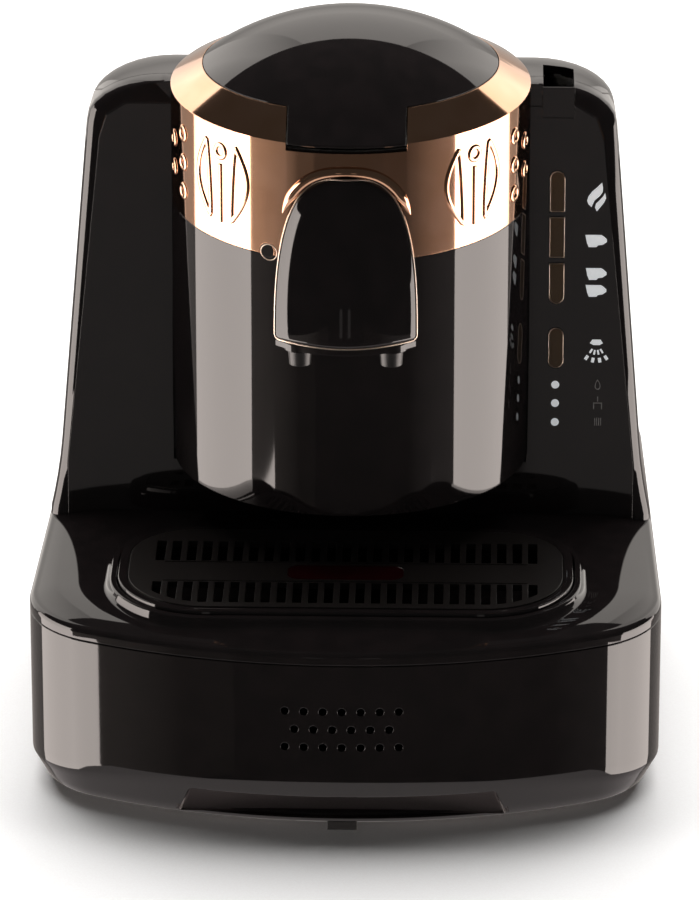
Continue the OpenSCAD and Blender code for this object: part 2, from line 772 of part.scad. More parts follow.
seat_r = head_r - band_t - 0.1;
module drum_shell() {
  color([0.04, 0.04, 0.04]) difference() {
    union() {
      difference() {
        translate([0, head_y, drum_z]) cylinder(r = head_r, h = band_z + 10 - drum_z, $fn = fine);
        rake_cut(band_z, band_rake);
      }
      // seat of the metal band
      difference() {
        translate([0, head_y, drum_z]) cylinder(r = seat_r, h = rim_z + 5 - drum_z, $fn = fine);
        rake_cut(rim_z - 3.2, rim_rake);
      }
    }
    translate([0, head_y, drum_z - 1]) cylinder(r = head_r - drum_wall - band_t, h = 300, $fn = fine);
    spout_opening();
    plug_hole();
    hinge_room();
    feed_place(60, feed_z0) rotate([0, 90, 0]) cylinder(d = feed_d + 1, h = 20, $fn = 32);
  }
  color([0.04, 0.04, 0.04]) difference() {
    hinge_ears();
    hinge_bore(0);
  }
}

module drum_floor() {
  color([0.06, 0.06, 0.06]) translate([0, head_y, drum_z]) difference() {
    cylinder(r = head_r - drum_wall - band_t - 0.05, h = 3, $fn = fine);
    translate([-20, 30, -1]) cylinder(d = 12, h = 10, $fn = 32);
  }
}

chamfer_in = lid_r + 0.35;
swing_gap = 2.4;
module copper_band() {
  color([0.72, 0.5, 0.38]) difference() {
    translate([0, head_y, 0]) tilted_ring([
      [head_r, band_z + fit / 2, band_rake],
      [head_r, rim_z - 0.7, rim_rake],
      [head_r - 0.8, rim_z, rim_rake],
      [chamfer_in, lid_z - 0.3, 0],
      [chamfer_in, lid_z - 2, 0],
      [head_r - band_t - 0.4, rim_z - 2, rim_rake],
      [head_r - band_t, rim_z - 2.6, rim_rake],
      [head_r - band_t, band_z + fit / 2, band_rake]]);
    tab_room(0.5, 4);
    hinge_room();
    spout_opening();
    plug_hole();
    // the lid's rear edge swings through here
    translate([0, head_y + swing_gap, lid_z - 5]) cylinder(r = chamfer_in, h = 20, $fn = fine);
  }
}

// Room that the lid's tab and a finger under it need in the band's chamfer
module tab_room(gap, below) {
  translate([-tab_w / 2 - gap, -100, rim_z - 1.8 - below]) cube([tab_w + 2 * gap, 100 + head_y - 40, 60]);
}

// Lid: dome, edge and the finger tab that lies in the chamfer
dome_r = (lid_r * lid_r + dome_h * dome_h) / (2 * dome_h);
edge_h = 4;
module head_lid() {
  color([0.04, 0.04, 0.04]) difference() {
    union() {
      translate([0, head_y, 0]) rotate_extrude($fn = fine) {
        difference() {
          intersection() {
            translate([0, lid_z + dome_h - dome_r]) circle(r = dome_r, $fn = 180);
            translate([0, lid_z - eps]) square([lid_r, dome_h + 1]);
          }
          translate([0, lid_z + dome_h - dome_r]) circle(r = dome_r - wall, $fn = 180);
        }
        translate([lid_r - wall, lid_z - edge_h]) square([wall, edge_h]);
      }
      // tab along the chamfer
      intersection() {
        translate([0, head_y, 0]) rotate_extrude($fn = fine) polygon([
          [lid_r - 1, lid_z], [lid_r, lid_z], [head_r + 0.6, rim_z - 2.2], [head_r + 0.6, rim_z - 3.2],
          [lid_r - 1, lid_z - edge_h]]);
        translate([-tab_w / 2, -100, rim_z - 10]) cube([tab_w, 60, 30]);
      }
      // knuckle on the hinge
      hinge_knuckle();
    }
    hinge_bore(slip);
  }
}

hinge_y = head_y + lid_r + 5.5;
hinge_z = lid_z - 6.5;
hinge_w = 22;
ear_t = 4;
pin_d = 3;
knuckle_d = 7;
module hinge_knuckle() {
  arm_y = lid_r - 1.5;
  translate([-hinge_w / 2 + fit, hinge_y, hinge_z]) rotate([0, 90, 0])
    cylinder(d = knuckle_d, h = hinge_w - 2 * fit, $fn = 48);
  translate([0, head_y, 0]) across([
    [arm_y, lid_z - edge_h], [hinge_y - head_y, hinge_z - 0.5], [hinge_y - head_y, hinge_z + knuckle_d / 2],
    [lid_r, lid_z - 0.6], [arm_y, lid_z - 0.6]], hinge_w - 2 * fit);
}
module hinge_bore(gap) {
  translate([-30, hinge_y, hinge_z]) rotate([0, 90, 0]) cylinder(d = pin_d + 2 * gap, h = 60, $fn = 32);
}
// Open space behind the lid where the hinge lies
module hinge_room() {
  translate([-hinge_w / 2 - ear_t, head_y + lid_r - 12, hinge_z - 7.5])
    cube([hinge_w + 2 * ear_t, 23.5, 30]);
}
// Ears that carry the hinge pin on both sides of the knuckle
module hinge_ears() {
  for (s = [-1, 1]) translate([s * (hinge_w / 2 + ear_t / 2), hinge_y, hinge_z]) {
    rotate([0, 90, 0]) cylinder(d = knuckle_d - 1, h = ear_t, center = true, $fn = 48);
    translate([-ear_t / 2, -2, -7]) cube([ear_t, 6.5, 7]);
  }
}
module lid_hinge_pin() {
  color("silver") translate([-hinge_w / 2 - ear_t, hinge_y, hinge_z]) rotate([0, 90, 0])
    cylinder(d = pin_d, h = hinge_w + 2 * ear_t, $fn = 32);
}

// Inner lid and its seal close the chamber
chamber_r = 46;
chamber_z0 = 198;
seal_h = 2.4;
chamber_z1 = lid_z - edge_h - 1.2 - seal_h - fit;
// Direction and heights at which the feed hose enters the drum and the chamber
feed_a = 135;
feed_d = 6;
feed_z0 = 205;
feed_z1 = 250;
module feed_place(r, z) {
  translate([0, head_y, z]) rotate([0, 0, feed_a]) translate([r, 0, 0]) children();
}
function feed_at(r, z) = [r * cos(feed_a), head_y + r * sin(feed_a), z];
module lid_liner() {
  color("gainsboro") translate([0, head_y, 0]) rotate_extrude($fn = fine) polygon([
    [0, lid_z + 2], [lid_r - 12, lid_z - 1], [lid_r - wall - 0.3, lid_z - edge_h + 0.4],
    [lid_r - wall - 0.3, lid_z - edge_h - 1.2], [lid_r - 10, lid_z - edge_h - 1.2],
    [lid_r - 13, lid_z - 3], [0, lid_z + 0.4]]);
}
module lid_seal() {
  color([0.75, 0.75, 0.72]) translate([0, head_y, lid_z - edge_h - 1.2 - seal_h]) rotate_extrude($fn = fine)
    polygon([[chamber_r + 1.2, 0.6], [chamber_r + 2.4, 0], [chamber_r + 3.4, 0.6],
             [chamber_r + 3.8, seal_h],
             [chamber_r + 0.8, seal_h]]);
}

// Chamber where water and coffee are heated, with a rolled flange on top
module brew_chamber() {
  color("silver") difference() {
    translate([0, head_y, 0]) rotate_extrude($fn = fine) polygon([
      [0, chamber_z0], [chamber_r - 6, chamber_z0], [chamber_r, chamber_z0 + 7],
      [chamber_r + 1.5, chamber_z0 + 8], [chamber_r + 1.5, chamber_z1 - 1.5],
      [chamber_r + 9, chamber_z1 - 1.5],
      [chamber_r + 9, chamber_z1], [chamber_r, chamber_z1], [chamber_r, chamber_z0 + 9],
      [chamber_r - 6.6, chamber_z0 + 2], [0, chamber_z0 + 2]]);
    translate([0, head_y - pipe_y, chamber_z0 - 5]) cylinder(d = pipe_d, h = 10, $fn = 32);
    feed_place(chamber_r - 4, feed_z1) rotate([0, 90, 0]) cylinder(d = feed_d, h = 10, $fn = 24);
  }
}
module chamber_gasket() {
  color([0.6, 0.2, 0.15]) difference() {
    translate([0, head_y, chamber_z1 - 1.5 - 3]) rotate_extrude($fn = fine)
      translate([chamber_r + 2, 0]) square([head_r - drum_wall - band_t - 0.1 - chamber_r - 2, 3]);
    hinge_room();
  }
}
heater_t = 5;
module heater_plate() {
  color("dimgray") translate([0, head_y, chamber_z0 - heater_t]) difference() {
    cylinder(r = chamber_r - 8, h = heater_t, $fn = fine);
    translate([0, -pipe_y, -1]) cylinder(d = pipe_d + 2, h = 10, $fn = 32);
  }
  color("silver") for (s = [-1, 1]) translate([s * 27, head_y + 8, chamber_z0 - heater_t - 10])
    cylinder(d = 5, h = 10, $fn = 24);
}
thermostat_h = 7;
module thermostat() {
  color("ivory") translate([0, head_y + 6, chamber_z0 - heater_t - thermostat_h]) {
    cylinder(d = 16, h = thermostat_h, $fn = 32);
    for (s = [-1, 1]) translate([s * 5 - 1.5, -0.4, -7]) cube([3, 0.8, 7]);
  }
}

// Pipe that leads the coffee from the chamber down into the spout
pipe_y = 30;          // in front of the head's axis
pipe_d = 12;
pipe_z = spout_z + 2;
pipe_h = 5;
module outlet_pipe() {
  color("white") difference() {
    union() {
      translate([0, head_y - pipe_y, pipe_z])
        cylinder(d = pipe_d - 2 * slip, h = chamber_z0 + 2 - pipe_z, $fn = 32);
      translate([0, head_y - pipe_y, pipe_z]) cylinder(d = 20, h = pipe_h, $fn = 32);
      translate([-10, nozzle_y, pipe_z]) cube([20, head_y - pipe_y - nozzle_y, pipe_h]);
      translate([-21, nozzle_y - 3, pipe_z]) cube([42, 6, pipe_h]);
    }
    translate([0, head_y - pipe_y, pipe_z + 1.5]) cylinder(d = pipe_d - 4, h = 20, $fn = 32);
    translate([-4, nozzle_y, pipe_z + 1.5]) cube([8, head_y - pipe_y - nozzle_y, pipe_h - 3]);
    for (s = [-1, 1]) translate([s * nozzle_gap / 2, nozzle_y, pipe_z - 1])
      cylinder(d = 4, h = pipe_h - 0.5, $fn = 24);
    translate([-nozzle_gap / 2, nozzle_y - 1, pipe_z + 1.5]) cube([nozzle_gap, 2, pipe_h - 3]);
  }
}

plug_x = -31.2;
plug_z = 215.5;
plug_d = 6;
module plug_place(extra) {
  a = asin(plug_x / head_r);
  translate([0, head_y, 0]) rotate([0, 0, a]) translate([0, -head_r - extra, plug_z])
    rotate([-90, 0, 0]) children();
}
module plug_hole() { plug_place(2) cylinder(d = plug_d, h = 12, $fn = 32); }
module sensor_plug() {
  color([0.1, 0.1, 0.12]) intersection() {
    plug_place(2) cylinder(d = plug_d - 2 * slip, h = 6, $fn = 32);
    translate([0, head_y, plug_z - 8]) cylinder(r = head_r - 0.05, h = 16, $fn = fine);
  }
}

// ---- spout -------------------------------------------------------------------------------

spout_n = 2.75;
spout_h = spout_top_z - spout_z;
// Half width of the arch at height t, from 0 at the lower edge to 1 at the top
function arch(t, n) = pow(max(0, 1 - pow(t, n)), 1 / n);
// Reach of the spout's middle in front of the head's axis
function spout_y(t) = spout_reach - (spout_reach - 74.5) * pow(t, 1.6);
// How much further back the spout's sides lie than its middle
function spout_bow(t) = 10 * (1 - 0.55 * t);

// Outline of the spout at height t, drawn in by d, from its back edge round the front
function spout_outline(t, d, back) =
  let (hw = max(0.4, (spout_w / 2) * arch(t, spout_n) - d), n = 10, yf = spout_y(t) - d, bow = spout_bow(t))
  concat(
    [for (i = [0 : n]) let (u = -1 + 2 * i / n, round_off = 1.6 * pow(abs(u), 8))
      [hw * u, -(yf - bow * pow(hw * u / (spout_w / 2), 2) - round_off)]],
    [[hw, -back], [-hw, -back]]);

module spout_form(d, back, z0, z1) {
  steps = [0, 0.12, 0.25, 0.4, 0.55, 0.68, 0.78, 0.86, 0.92, 0.96, 0.985, 0.997];
  translate([0, head_y, 0])
    loft([for (t = steps) at_z(spout_outline(t, d, back),
        t == 0 ? z0 : spout_z + spout_h * t - (t > 0.99 ? d : 0))]);
}

module spout_cover() {
  color([0.04, 0.04, 0.04]) difference() {
    spout_form(0, 60, spout_z, 0);
    spout_form(2, 40, spout_z - 1, 0);
    translate([0, head_y, 100]) cylinder(r = head_r + 0.05, h = 200, $fn = fine);
    collar_cut();
  }
}
// The spout's collar and the mouth in the drum behind it
module spout_opening() {
  translate([-14, head_y - 90, 184]) cube([28, 40, 24]);
}
collar_hw = 22;
collar_h = 38.5;
collar_z = 215.5;
module collar_profile(d) {
  translate([0, collar_z]) polygon(concat(
    [for (i = [0 : 24]) let (a = 180 * i / 24, c = cos(a), s = sin(a))
      [(collar_hw - d) * sign(c) * pow(abs(c), 0.54), (collar_h - d) * pow(s, 0.54)]]));
}
module collar_cut() {
  translate([0, head_y, 0]) rotate([90, 0, 0]) linear_extrude(100)
    difference() {
      translate([0, 0.15]) collar_profile(-0.1);
      spout_face();
    }
}
module spout_face() {
  polygon(concat([for (i = [0 : 32]) let (a = 180 * i / 32, c = cos(a), s = sin(a))
    [(spout_w / 2 + 0.15) * sign(c) * pow(abs(c), 2 / spout_n),
     spout_z + (spout_h + 0.15) * pow(s, 2 / spout_n)]],
    [[-spout_w / 2, spout_z - 5], [spout_w / 2, spout_z - 5]]));
}
module spout_collar() {
  color([0.72, 0.5, 0.38]) difference() {
    translate([0, head_y, 0]) rotate([90, 0, 0]) linear_extrude(76)
      difference() {
        collar_profile(0);
        spout_face();
      }
    translate([0, head_y, 100]) cylinder(r = head_r + 0.05, h = 200, $fn = fine);
    translate([-60, head_y - 60, 100]) cube([120, 200, 200]);
  }
}

base_lip = 2.4;
module spout_base() {
  color([0.05, 0.05, 0.05]) difference() {
    union() {
      translate([0, head_y, spout_z - base_lip]) linear_extrude(base_lip)
        polygon(spout_outline(0, 0.8, 60));
      translate([0, head_y, spout_z]) linear_extrude(1.6) polygon(spout_outline(0.02, 2.2, 60));
      for (s = [-1, 1]) translate([s * nozzle_gap / 2, nozzle_y, spout_z - base_lip - 0.6])
        cylinder(d = nozzle_d + 3, h = 3, $fn = 48);
    }
    for (s = [-1, 1]) translate([s * nozzle_gap / 2, nozzle_y, spout_z - 10])
      cylinder(d = nozzle_d - 2 + 2 * slip, h = 20, $fn = 48);
    translate([0, head_y, 100]) cylinder(r = head_r + 0.05, h = 200, $fn = fine);
  }
}
nozzle_y = head_y - 79.6;
module nozzle(s) {
  color([0.05, 0.05, 0.05]) translate([s * nozzle_gap / 2, nozzle_y, 0]) difference() {
    union() {
      translate([0, 0, nozzle_z])
        cylinder(d1 = nozzle_d - 1, d2 = nozzle_d, h = spout_z - base_lip - 0.6 - nozzle_z,
                                           $fn = 48);
      translate([0, 0, nozzle_z + 2])
        cylinder(d = nozzle_d - 2, h = spout_z + 1.5 - nozzle_z - 2, $fn = 48);
    }
    translate([0, 0, nozzle_z - 1]) cylinder(d = 5, h = 20, $fn = 32);
  }
}
module nozzle_left() { nozzle(-1); }
module nozzle_right() { nozzle(1); }

// ---- water tank ----------------------------------------------------------------------------

dock_x = 0;
dock_y = rear_y - 21;
dock_d = 20;
dock_bore = 11;
dock_flange = 4;
dock_z = tank_z - fit - wall - dock_flange;
spigot_d = 7;
spigot_z = 74;
module dock_hole() {
  translate([dock_x, dock_y, tank_z - 12]) cylinder(d = dock_d, h = 20, $fn = 48);
}
module dock_seal() {
  color([0.6, 0.2, 0.15]) translate([dock_x, dock_y, 0]) difference() {
    union() {
      translate([0, 0, dock_z]) cylinder(d = dock_d - 2 * slip, h = wall + dock_flange, $fn = 48);
      translate([0, 0, dock_z]) cylinder(d = dock_d + 5, h = dock_flange, $fn = 48);
    }
    translate([0, 0, dock_z - 1]) cylinder(d = dock_bore, h = 40, $fn = 48);
  }
}

module water_tank() {
  color([0.25, 0.25, 0.27]) difference() {
    union() {
      difference() {
        intersection() {
          tower_form(0);
          tank_zone(0);
        }
        lid_zone(-0.6);
        intersection() {
          tower_form(tank_wall);
          tank_zone(tank_wall);
        }
      }
      // housing of the outlet valve
      translate([dock_x, dock_y, tank_z]) cylinder(d = cage_d, h = cage_h, $fn = 48);
      // ears that carry the pin of the tank lid
      for (s = [-1, 1]) translate([s * (ear_x + 3) - 3, tank_hinge_y, tank_hinge_z]) {
        rotate([0, 90, 0]) cylinder(d = knuckle_d, h = 6, $fn = 48);
        across_at([[-knuckle_d / 2 - 0.5, -14], [0.5, -6], [knuckle_d / 2, 0], [-knuckle_d / 2, 0]], 6);
      }
    }
    translate([dock_x, dock_y, tank_z - 1]) cylinder(d = 9, h = 10, $fn = 48);
    translate([dock_x, dock_y, tank_z + tank_wall])
      cylinder(d = cage_d - 4, h = cage_h - 2 * tank_wall, $fn = 48);
    translate([dock_x, dock_y, tank_z + tank_wall]) cylinder(d = 5 + 2 * slip, h = cage_h, $fn = 32);
    for (a = [0, 90]) translate([dock_x, dock_y, tank_z + tank_wall + 3]) rotate([0, 0, a])
      translate([-cage_d, -2.5, 0]) cube([2 * cage_d, 5, 5]);
    tank_hinge_line(ear_x + 6.1, pin_d);
    for (s = [-1, 1]) translate([s * knuckle_x, 0, 0]) tank_hinge_line(6 + fit, knuckle_d + 0.4);
  }
}
tank_hinge_z = 217;
tank_hinge_y = back_at(tank_hinge_z) + 1;
ear_x = 31;        // inner side of an ear
knuckle_x = 24;    // middle of a lid knuckle
cage_d = 22;
cage_h = 15;

// A profile given in Y and Z, extruded along X from here
module across_at(points, width) {
  rotate([90, 0, 90]) linear_extrude(width) polygon(points);
}
// Cylinder on the tank lid's hinge line
module tank_hinge_line(half, d) {
  translate([-half, tank_hinge_y, tank_hinge_z]) rotate([0, 90, 0]) cylinder(d = d, h = 2 * half, $fn = 48);
}

module tank_lid() {
  color([0.04, 0.04, 0.04]) difference() {
    union() {
      intersection() {
        difference() {
          tower_form(0);
          tower_form(wall);
        }
        lid_zone(0);
      }
      // knuckles between the tank's ears
      for (s = [-1, 1]) translate([s * knuckle_x, 0, 0]) {
        tank_hinge_line(6, knuckle_d - 0.6);
        translate([-6, tank_hinge_y, tank_hinge_z])
          across_at([[-wall - 0.8, 0], [3, 0], [1, 4], [-1, 7], [-wall - 0.8, 7]], 12);
      }
    }
    head_hole(1, 200);
    top_notch();
    tank_hinge_line(60, pin_d + 2 * slip);
    for (s = [-1, 1]) translate([s * (ear_x + 3), 0, 0]) tank_hinge_line(3 + fit, knuckle_d + 0.6);
  }
}

module tank_lid_pin() {
  color("silver") tank_hinge_line(ear_x + 6, pin_d);
}
valve_open = 2;
disc_d = 14;
spring_r = 4.6;
module tank_valve() {
  color("white") translate([dock_x, dock_y, tank_z]) {
    translate([0, 0, -1]) cylinder(d = 5, h = cage_h + 5, $fn = 32);
    translate([0, 0, tank_wall + valve_open]) cylinder(d = disc_d, h = 2, $fn = 48);
  }
}
module tank_valve_spring() {
  turns = 3.5;
  steps = 12;
  z0 = tank_z + tank_wall + valve_open + 2 + 0.45;
  pitch = (tank_z + cage_h - tank_wall - 0.45 - z0) / turns;
  color("silver") hose([for (i = [0 : turns * steps]) let (a = 360 * i / steps)
    [dock_x + spring_r * cos(a), dock_y + spring_r * sin(a), z0 + pitch * i / steps]], 0.8, 6);
}

// Spigot below the tank: it stands on the deck and carries the seal, and its pin opens the tank's valve
opener_d = 3.4;
module dock_spigot() {
  cup_depth = 4;
  color("white") translate([dock_x, dock_y, 0]) difference() {
    union() {
      translate([0, 0, deck_z]) cylinder(d = dock_d + 5, h = dock_z - deck_z, $fn = 48);
      translate([0, 0, spigot_z]) cylinder(d = spigot_d, h = deck_z - spigot_z + 1, $fn = 32);
      translate([0, 0, dock_z - cup_depth])
        cylinder(d = opener_d, h = tank_z - 1 - dock_z + cup_depth, $fn = 32);
    }
    difference() {
      translate([0, 0, dock_z - cup_depth]) cylinder(d = dock_bore, h = cup_depth + 1, $fn = 48);
      translate([0, 0, dock_z - cup_depth - 1]) cylinder(d = opener_d, h = 10, $fn = 32);
    }
    for (s = [-1, 1]) translate([s * 2.9, 0, spigot_z + 4]) cylinder(d = 1.6, h = 12, $fn = 24);
    translate([0, 0, spigot_z - 1]) cylinder(d = spigot_d - 2.4, h = 6.5, $fn = 32);
  }
}

// ---- pump and hose -----------------------------------------------------------------------

pump_p = [-52, 40, 40];
pump_d = 24;
pump_l = 44;
coil_l = 32;
coil_w = 34;
port_reach = 36;
module pump() {
  color([0.75, 0.75, 0.7]) translate(pump_p) {
    rotate([0, 90, 0]) cylinder(d = pump_d, h = pump_l, center = true, $fn = 48);
    translate([-coil_l / 2, -coil_w / 2, -coil_w / 2]) cube([coil_l, coil_w, coil_w]);
    rotate([0, 90, 0]) cylinder(d = 8, h = 2 * port_reach, center = true, $fn = 32);
  }
}
pump_mount_t = 6;
module pump_mounts() {
  color([0.15, 0.15, 0.15]) for (s = [-1, 1])
    translate([pump_p[0] + s * (coil_l / 2 + fit + pump_mount_t / 2), pump_p[1], 0]) difference() {
      translate([-pump_mount_t / 2, -18, plate_top]) cube([pump_mount_t, 36, pump_p[2] + 16 - plate_top]);
      translate([-10, 0, pump_p[2]]) rotate([0, 90, 0]) cylinder(d = pump_d + 0.1, h = 20, $fn = 48);
    }
}
module water_hose() {
  color("ivory") {
    hose([[dock_x, dock_y, spigot_z], [dock_x, dock_y, 66], [-4, 100, 48], [-6, 62, 40], [-8, 46, 40],
          [-12, pump_p[1], pump_p[2]], pump_p + [port_reach, 0, 0]], spigot_d);
    hose([pump_p - [port_reach, 0, 0], pump_p - [port_reach + 7, 0, 0], [-98, 52, 46], [-82, 66, 58],
          [-80, 70, 95], [-80, 72, 188], [-74, 74, 202], feed_at(80, feed_z0), feed_at(62, feed_z0), feed_at(57, feed_z0 + 6),
          feed_at(57, feed_z1 - 8), feed_at(54, feed_z1), feed_at(chamber_r + 0.8, feed_z1)], feed_d);
  }
}

base_plate();
base_shell();
deck();
rubber_feet();
front_foot();
speaker();
speaker_bracket();
power_board();
cord_gland();
base_screws();
tower_housing();
front_panel();
control_board();
key_mat();
indicator_lenses();
boil_key();
one_cup_key();
two_cup_key();
rinse_key();
drum_shell();
drum_floor();
copper_band();
sensor_plug();
lid_hinge_pin();
brew_chamber();
chamber_gasket();
heater_plate();
thermostat();
outlet_pipe();
pump();
pump_mounts();
water_hose();
spout_cover();
spout_collar();
spout_base();
nozzle_left();
nozzle_right();
head_lid();
lid_liner();
lid_seal();
drip_tray();
drip_grille();
grille_inlay();
water_tank();
tank_lid();
tank_lid_pin();
tank_valve();
tank_valve_spring();
dock_seal();
dock_spigot();
power_switch();
switch_frame();
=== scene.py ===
# %% [markdown]
# # An electric Turkish coffee maker
# The machine is a moulded base with a drip tray, a leaning tower with four keys, and a round
# brewing head with a metal band, a domed lid and a spout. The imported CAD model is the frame:
# it gives every place and every size. Here each visible surface gets a smooth skin and a finish.

# %% Load the frame
import json
import math

import bpy
import bmesh
import numpy as np
from mathutils import Matrix, Vector


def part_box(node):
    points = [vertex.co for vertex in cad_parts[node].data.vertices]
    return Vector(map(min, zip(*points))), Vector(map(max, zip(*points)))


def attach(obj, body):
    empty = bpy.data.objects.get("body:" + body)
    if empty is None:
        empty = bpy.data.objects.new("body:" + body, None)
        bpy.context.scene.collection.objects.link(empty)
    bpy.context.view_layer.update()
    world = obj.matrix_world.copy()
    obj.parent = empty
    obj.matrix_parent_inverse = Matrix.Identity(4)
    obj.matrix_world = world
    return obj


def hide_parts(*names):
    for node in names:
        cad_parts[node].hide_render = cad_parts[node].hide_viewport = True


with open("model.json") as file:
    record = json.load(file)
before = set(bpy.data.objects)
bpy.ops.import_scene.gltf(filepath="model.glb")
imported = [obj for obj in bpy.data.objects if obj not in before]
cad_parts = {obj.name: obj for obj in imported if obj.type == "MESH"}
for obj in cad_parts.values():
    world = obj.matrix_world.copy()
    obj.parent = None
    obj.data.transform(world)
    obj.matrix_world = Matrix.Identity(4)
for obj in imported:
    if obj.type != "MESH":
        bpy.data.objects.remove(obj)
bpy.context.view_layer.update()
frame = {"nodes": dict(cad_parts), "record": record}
MM = 0.001


def box_mm(node):
    """Lowest and highest corner of a CAD node's box, in mm to one decimal."""
    return [[round(v / MM, 1) for v in corner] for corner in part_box(node)]


# %% [markdown]
# A long lens makes a product look calm, because lines that run to the back hardly converge.
# The camera stands 2.5 m away and looks down at the rim of the brewing head. It could be placed by
# eye, but worked out from two angles and from where that rim lies in a 700 x 900 frame it is exact.

# %% The camera
IMAGE_W, IMAGE_H = 700, 900
LENS_MM, SENSOR_MM = 251.88, 36.0
CAMERA_PITCH = math.radians(22.64)
CAMERA_TURN = math.radians(1.42)
CAMERA_DISTANCE = 2.5
RIM_MIDDLE = Vector((0, 11.5, 271.7)) * MM
RIM_IN_PICTURE = (350.7, 60.7)

forward = Vector((-math.sin(CAMERA_TURN) * math.cos(CAMERA_PITCH),
                  math.cos(CAMERA_TURN) * math.cos(CAMERA_PITCH), -math.sin(CAMERA_PITCH)))
right = Vector((math.cos(CAMERA_TURN), math.sin(CAMERA_TURN), 0))
up = right.cross(forward)
focal_px = LENS_MM / SENSOR_MM * IMAGE_H
to_rim = (forward * focal_px + right * (RIM_IN_PICTURE[0] - IMAGE_W / 2)
          - up * (RIM_IN_PICTURE[1] - IMAGE_H / 2)).normalized()

camera = bpy.data.objects.new("camera", bpy.data.cameras.new("camera"))
camera.data.lens = LENS_MM
camera.data.sensor_width = SENSOR_MM
camera.data.sensor_fit = "AUTO"
camera.data.clip_end = 30       # metres: far enough for the whole floor
axes = Matrix((right, up, -forward)).transposed().to_4x4()
camera.matrix_world = Matrix.Translation(RIM_MIDDLE - to_rim * CAMERA_DISTANCE) @ axes
bpy.context.scene.collection.objects.link(camera)
bpy.context.scene.camera = camera
print("camera at", [round(v, 3) for v in camera.matrix_world.translation])

# %% [markdown]
# A finish is a small network of nodes. It could be wired by hand in the shader editor. Here one
# function adds a node, sets its values and links its inputs, so a finish is one line, and another
# turns a colour written as sRGB hex into the linear light that Cycles uses. Grains finer than
# about 0.3 mm wouldn't show, so they are drawn at 0.3 mm or more, as coarse as they need to be.

# %% Helpers for materials
EDGE_MM = 0.35      # radius that a moulded edge gets in the shading


def linear(hex_colour):
    """sRGB hex to linear RGBA: c / 12.92 below 0.04045, else ((c + 0.055) / 1.055) ** 2.4."""
    c = np.array([int(hex_colour[i:i + 2], 16) / 255 for i in (1, 3, 5)])
    lin = np.where(c <= 0.04045, c / 12.92, ((c + 0.055) / 1.055) ** 2.4)
    return (*lin.tolist(), 1.0)


def add(tree, kind, inputs=None, **settings):
    """Add one node. Inputs map a socket's name or number to a value, or to a socket to link from."""
    node = tree.nodes.new(kind)
    for key, value in settings.items():
        setattr(node, key, value)
    for key, value in (inputs or {}).items():
        if isinstance(value, bpy.types.NodeSocket):
            tree.links.new(value, node.inputs[key])
        else:
            node.inputs[key].default_value = value
    return node


def new_material(name, **shader):
    """A material with one Principled shader; returns the material, its tree and the shader."""
    material = bpy.data.materials.new(name)
    material.use_nodes = True
    tree = material.node_tree
    tree.nodes.clear()
    principled = add(tree, "ShaderNodeBsdfPrincipled", shader)
    output = add(tree, "ShaderNodeOutputMaterial")
    tree.links.new(principled.outputs[0], output.inputs["Surface"])
    return material, tree, principled


def per_mm(size_mm):
    """Noise scale, in waves per metre, for features about size_mm wide."""
    return 1 / (size_mm * MM)


def grain(tree, principled, size_mm, height_mm, detail=2.0):
    """A fine bump from noise with features of size_mm and a height of height_mm."""
    place = add(tree, "ShaderNodeTexCoord")
    noise = add(tree, "ShaderNodeTexNoise", {"Vector": place.outputs["Object"], "Scale": per_mm(size_mm),
                                             "Detail": detail})
    edge = add(tree, "ShaderNodeBevel", {"Radius": EDGE_MM * MM}, samples=4)
    bump = add(tree, "ShaderNodeBump", {"Height": noise.outputs["Fac"], "Strength": 1.0,
                                        "Distance": height_mm * MM, "Normal": edge.outputs["Normal"]})
    tree.links.new(bump.outputs["Normal"], principled.inputs["Normal"])
    return noise


def tone(tree, principled, noise, dark, light):
    """Colour that drifts between two close shades while the noise goes from 0.35 to 0.65."""
    ramp = add(tree, "ShaderNodeValToRGB", {"Fac": noise.outputs["Fac"]})
    ramp.color_ramp.elements[0].position, ramp.color_ramp.elements[1].position = 0.35, 0.65
    ramp.color_ramp.elements[0].color, ramp.color_ramp.elements[1].color = linear(dark), linear(light)
    tree.links.new(ramp.outputs["Color"], principled.inputs["Base Color"])


print("mid grey in linear light:", round(linear("#808080")[0], 3))

# %% [markdown]
# High gloss ABS is injection moulded against a polished steel tool. A plain black with a shine
# would look like glass, so the skin also gets the shallow waves that a moulding has. Its colour is
# nearly black, and what the eye reads is the mirror of the studio.

# %% Gloss black ABS
def moulded_plastic(name, dark, light, roughness, wave_mm=9.0, wave_height=0.0012):
    """A moulded skin: two close shades, and waves of wave_mm that are wave_height mm high."""
    material, tree, shader = new_material(name, Roughness=roughness, IOR=1.5)
    noise = grain(tree, shader, wave_mm, wave_height, detail=1.0)
    tone(tree, shader, noise, dark, light)
    return material


# Polished mould: the eye sees a dark mirror whose straight lines sway a little.
gloss_black = moulded_plastic("moulded_gloss_black_abs", "#141111", "#181414", 0.035)
# Lining of the grip: satin grain, painted a lighter grey than the black wall, which stands in
# for light in the shaded recess.
grip_lining_painted_light = moulded_plastic("satin_grip_painted_lighter", "#3a3231", "#443b3a", 0.4, 0.35, 0.006)
# The same grain in black, for inner shells and nozzles: it shows form without mirroring anything.
satin_black = moulded_plastic("moulded_satin_black_abs", "#131110", "#1a1716", 0.35, 0.35, 0.006)
print("black plastics:", [m.name for m in (gloss_black, grip_lining_painted_light, satin_black)])

# %% [markdown]
# The band is rose copper: polished steel with a copper-coloured plating. Streaks of light could be
# painted on, but they would stay put when the camera moves. A metal has no colour of its own
# apart from the tint of its mirror, so the studio draws the streaks and the plating warms them.

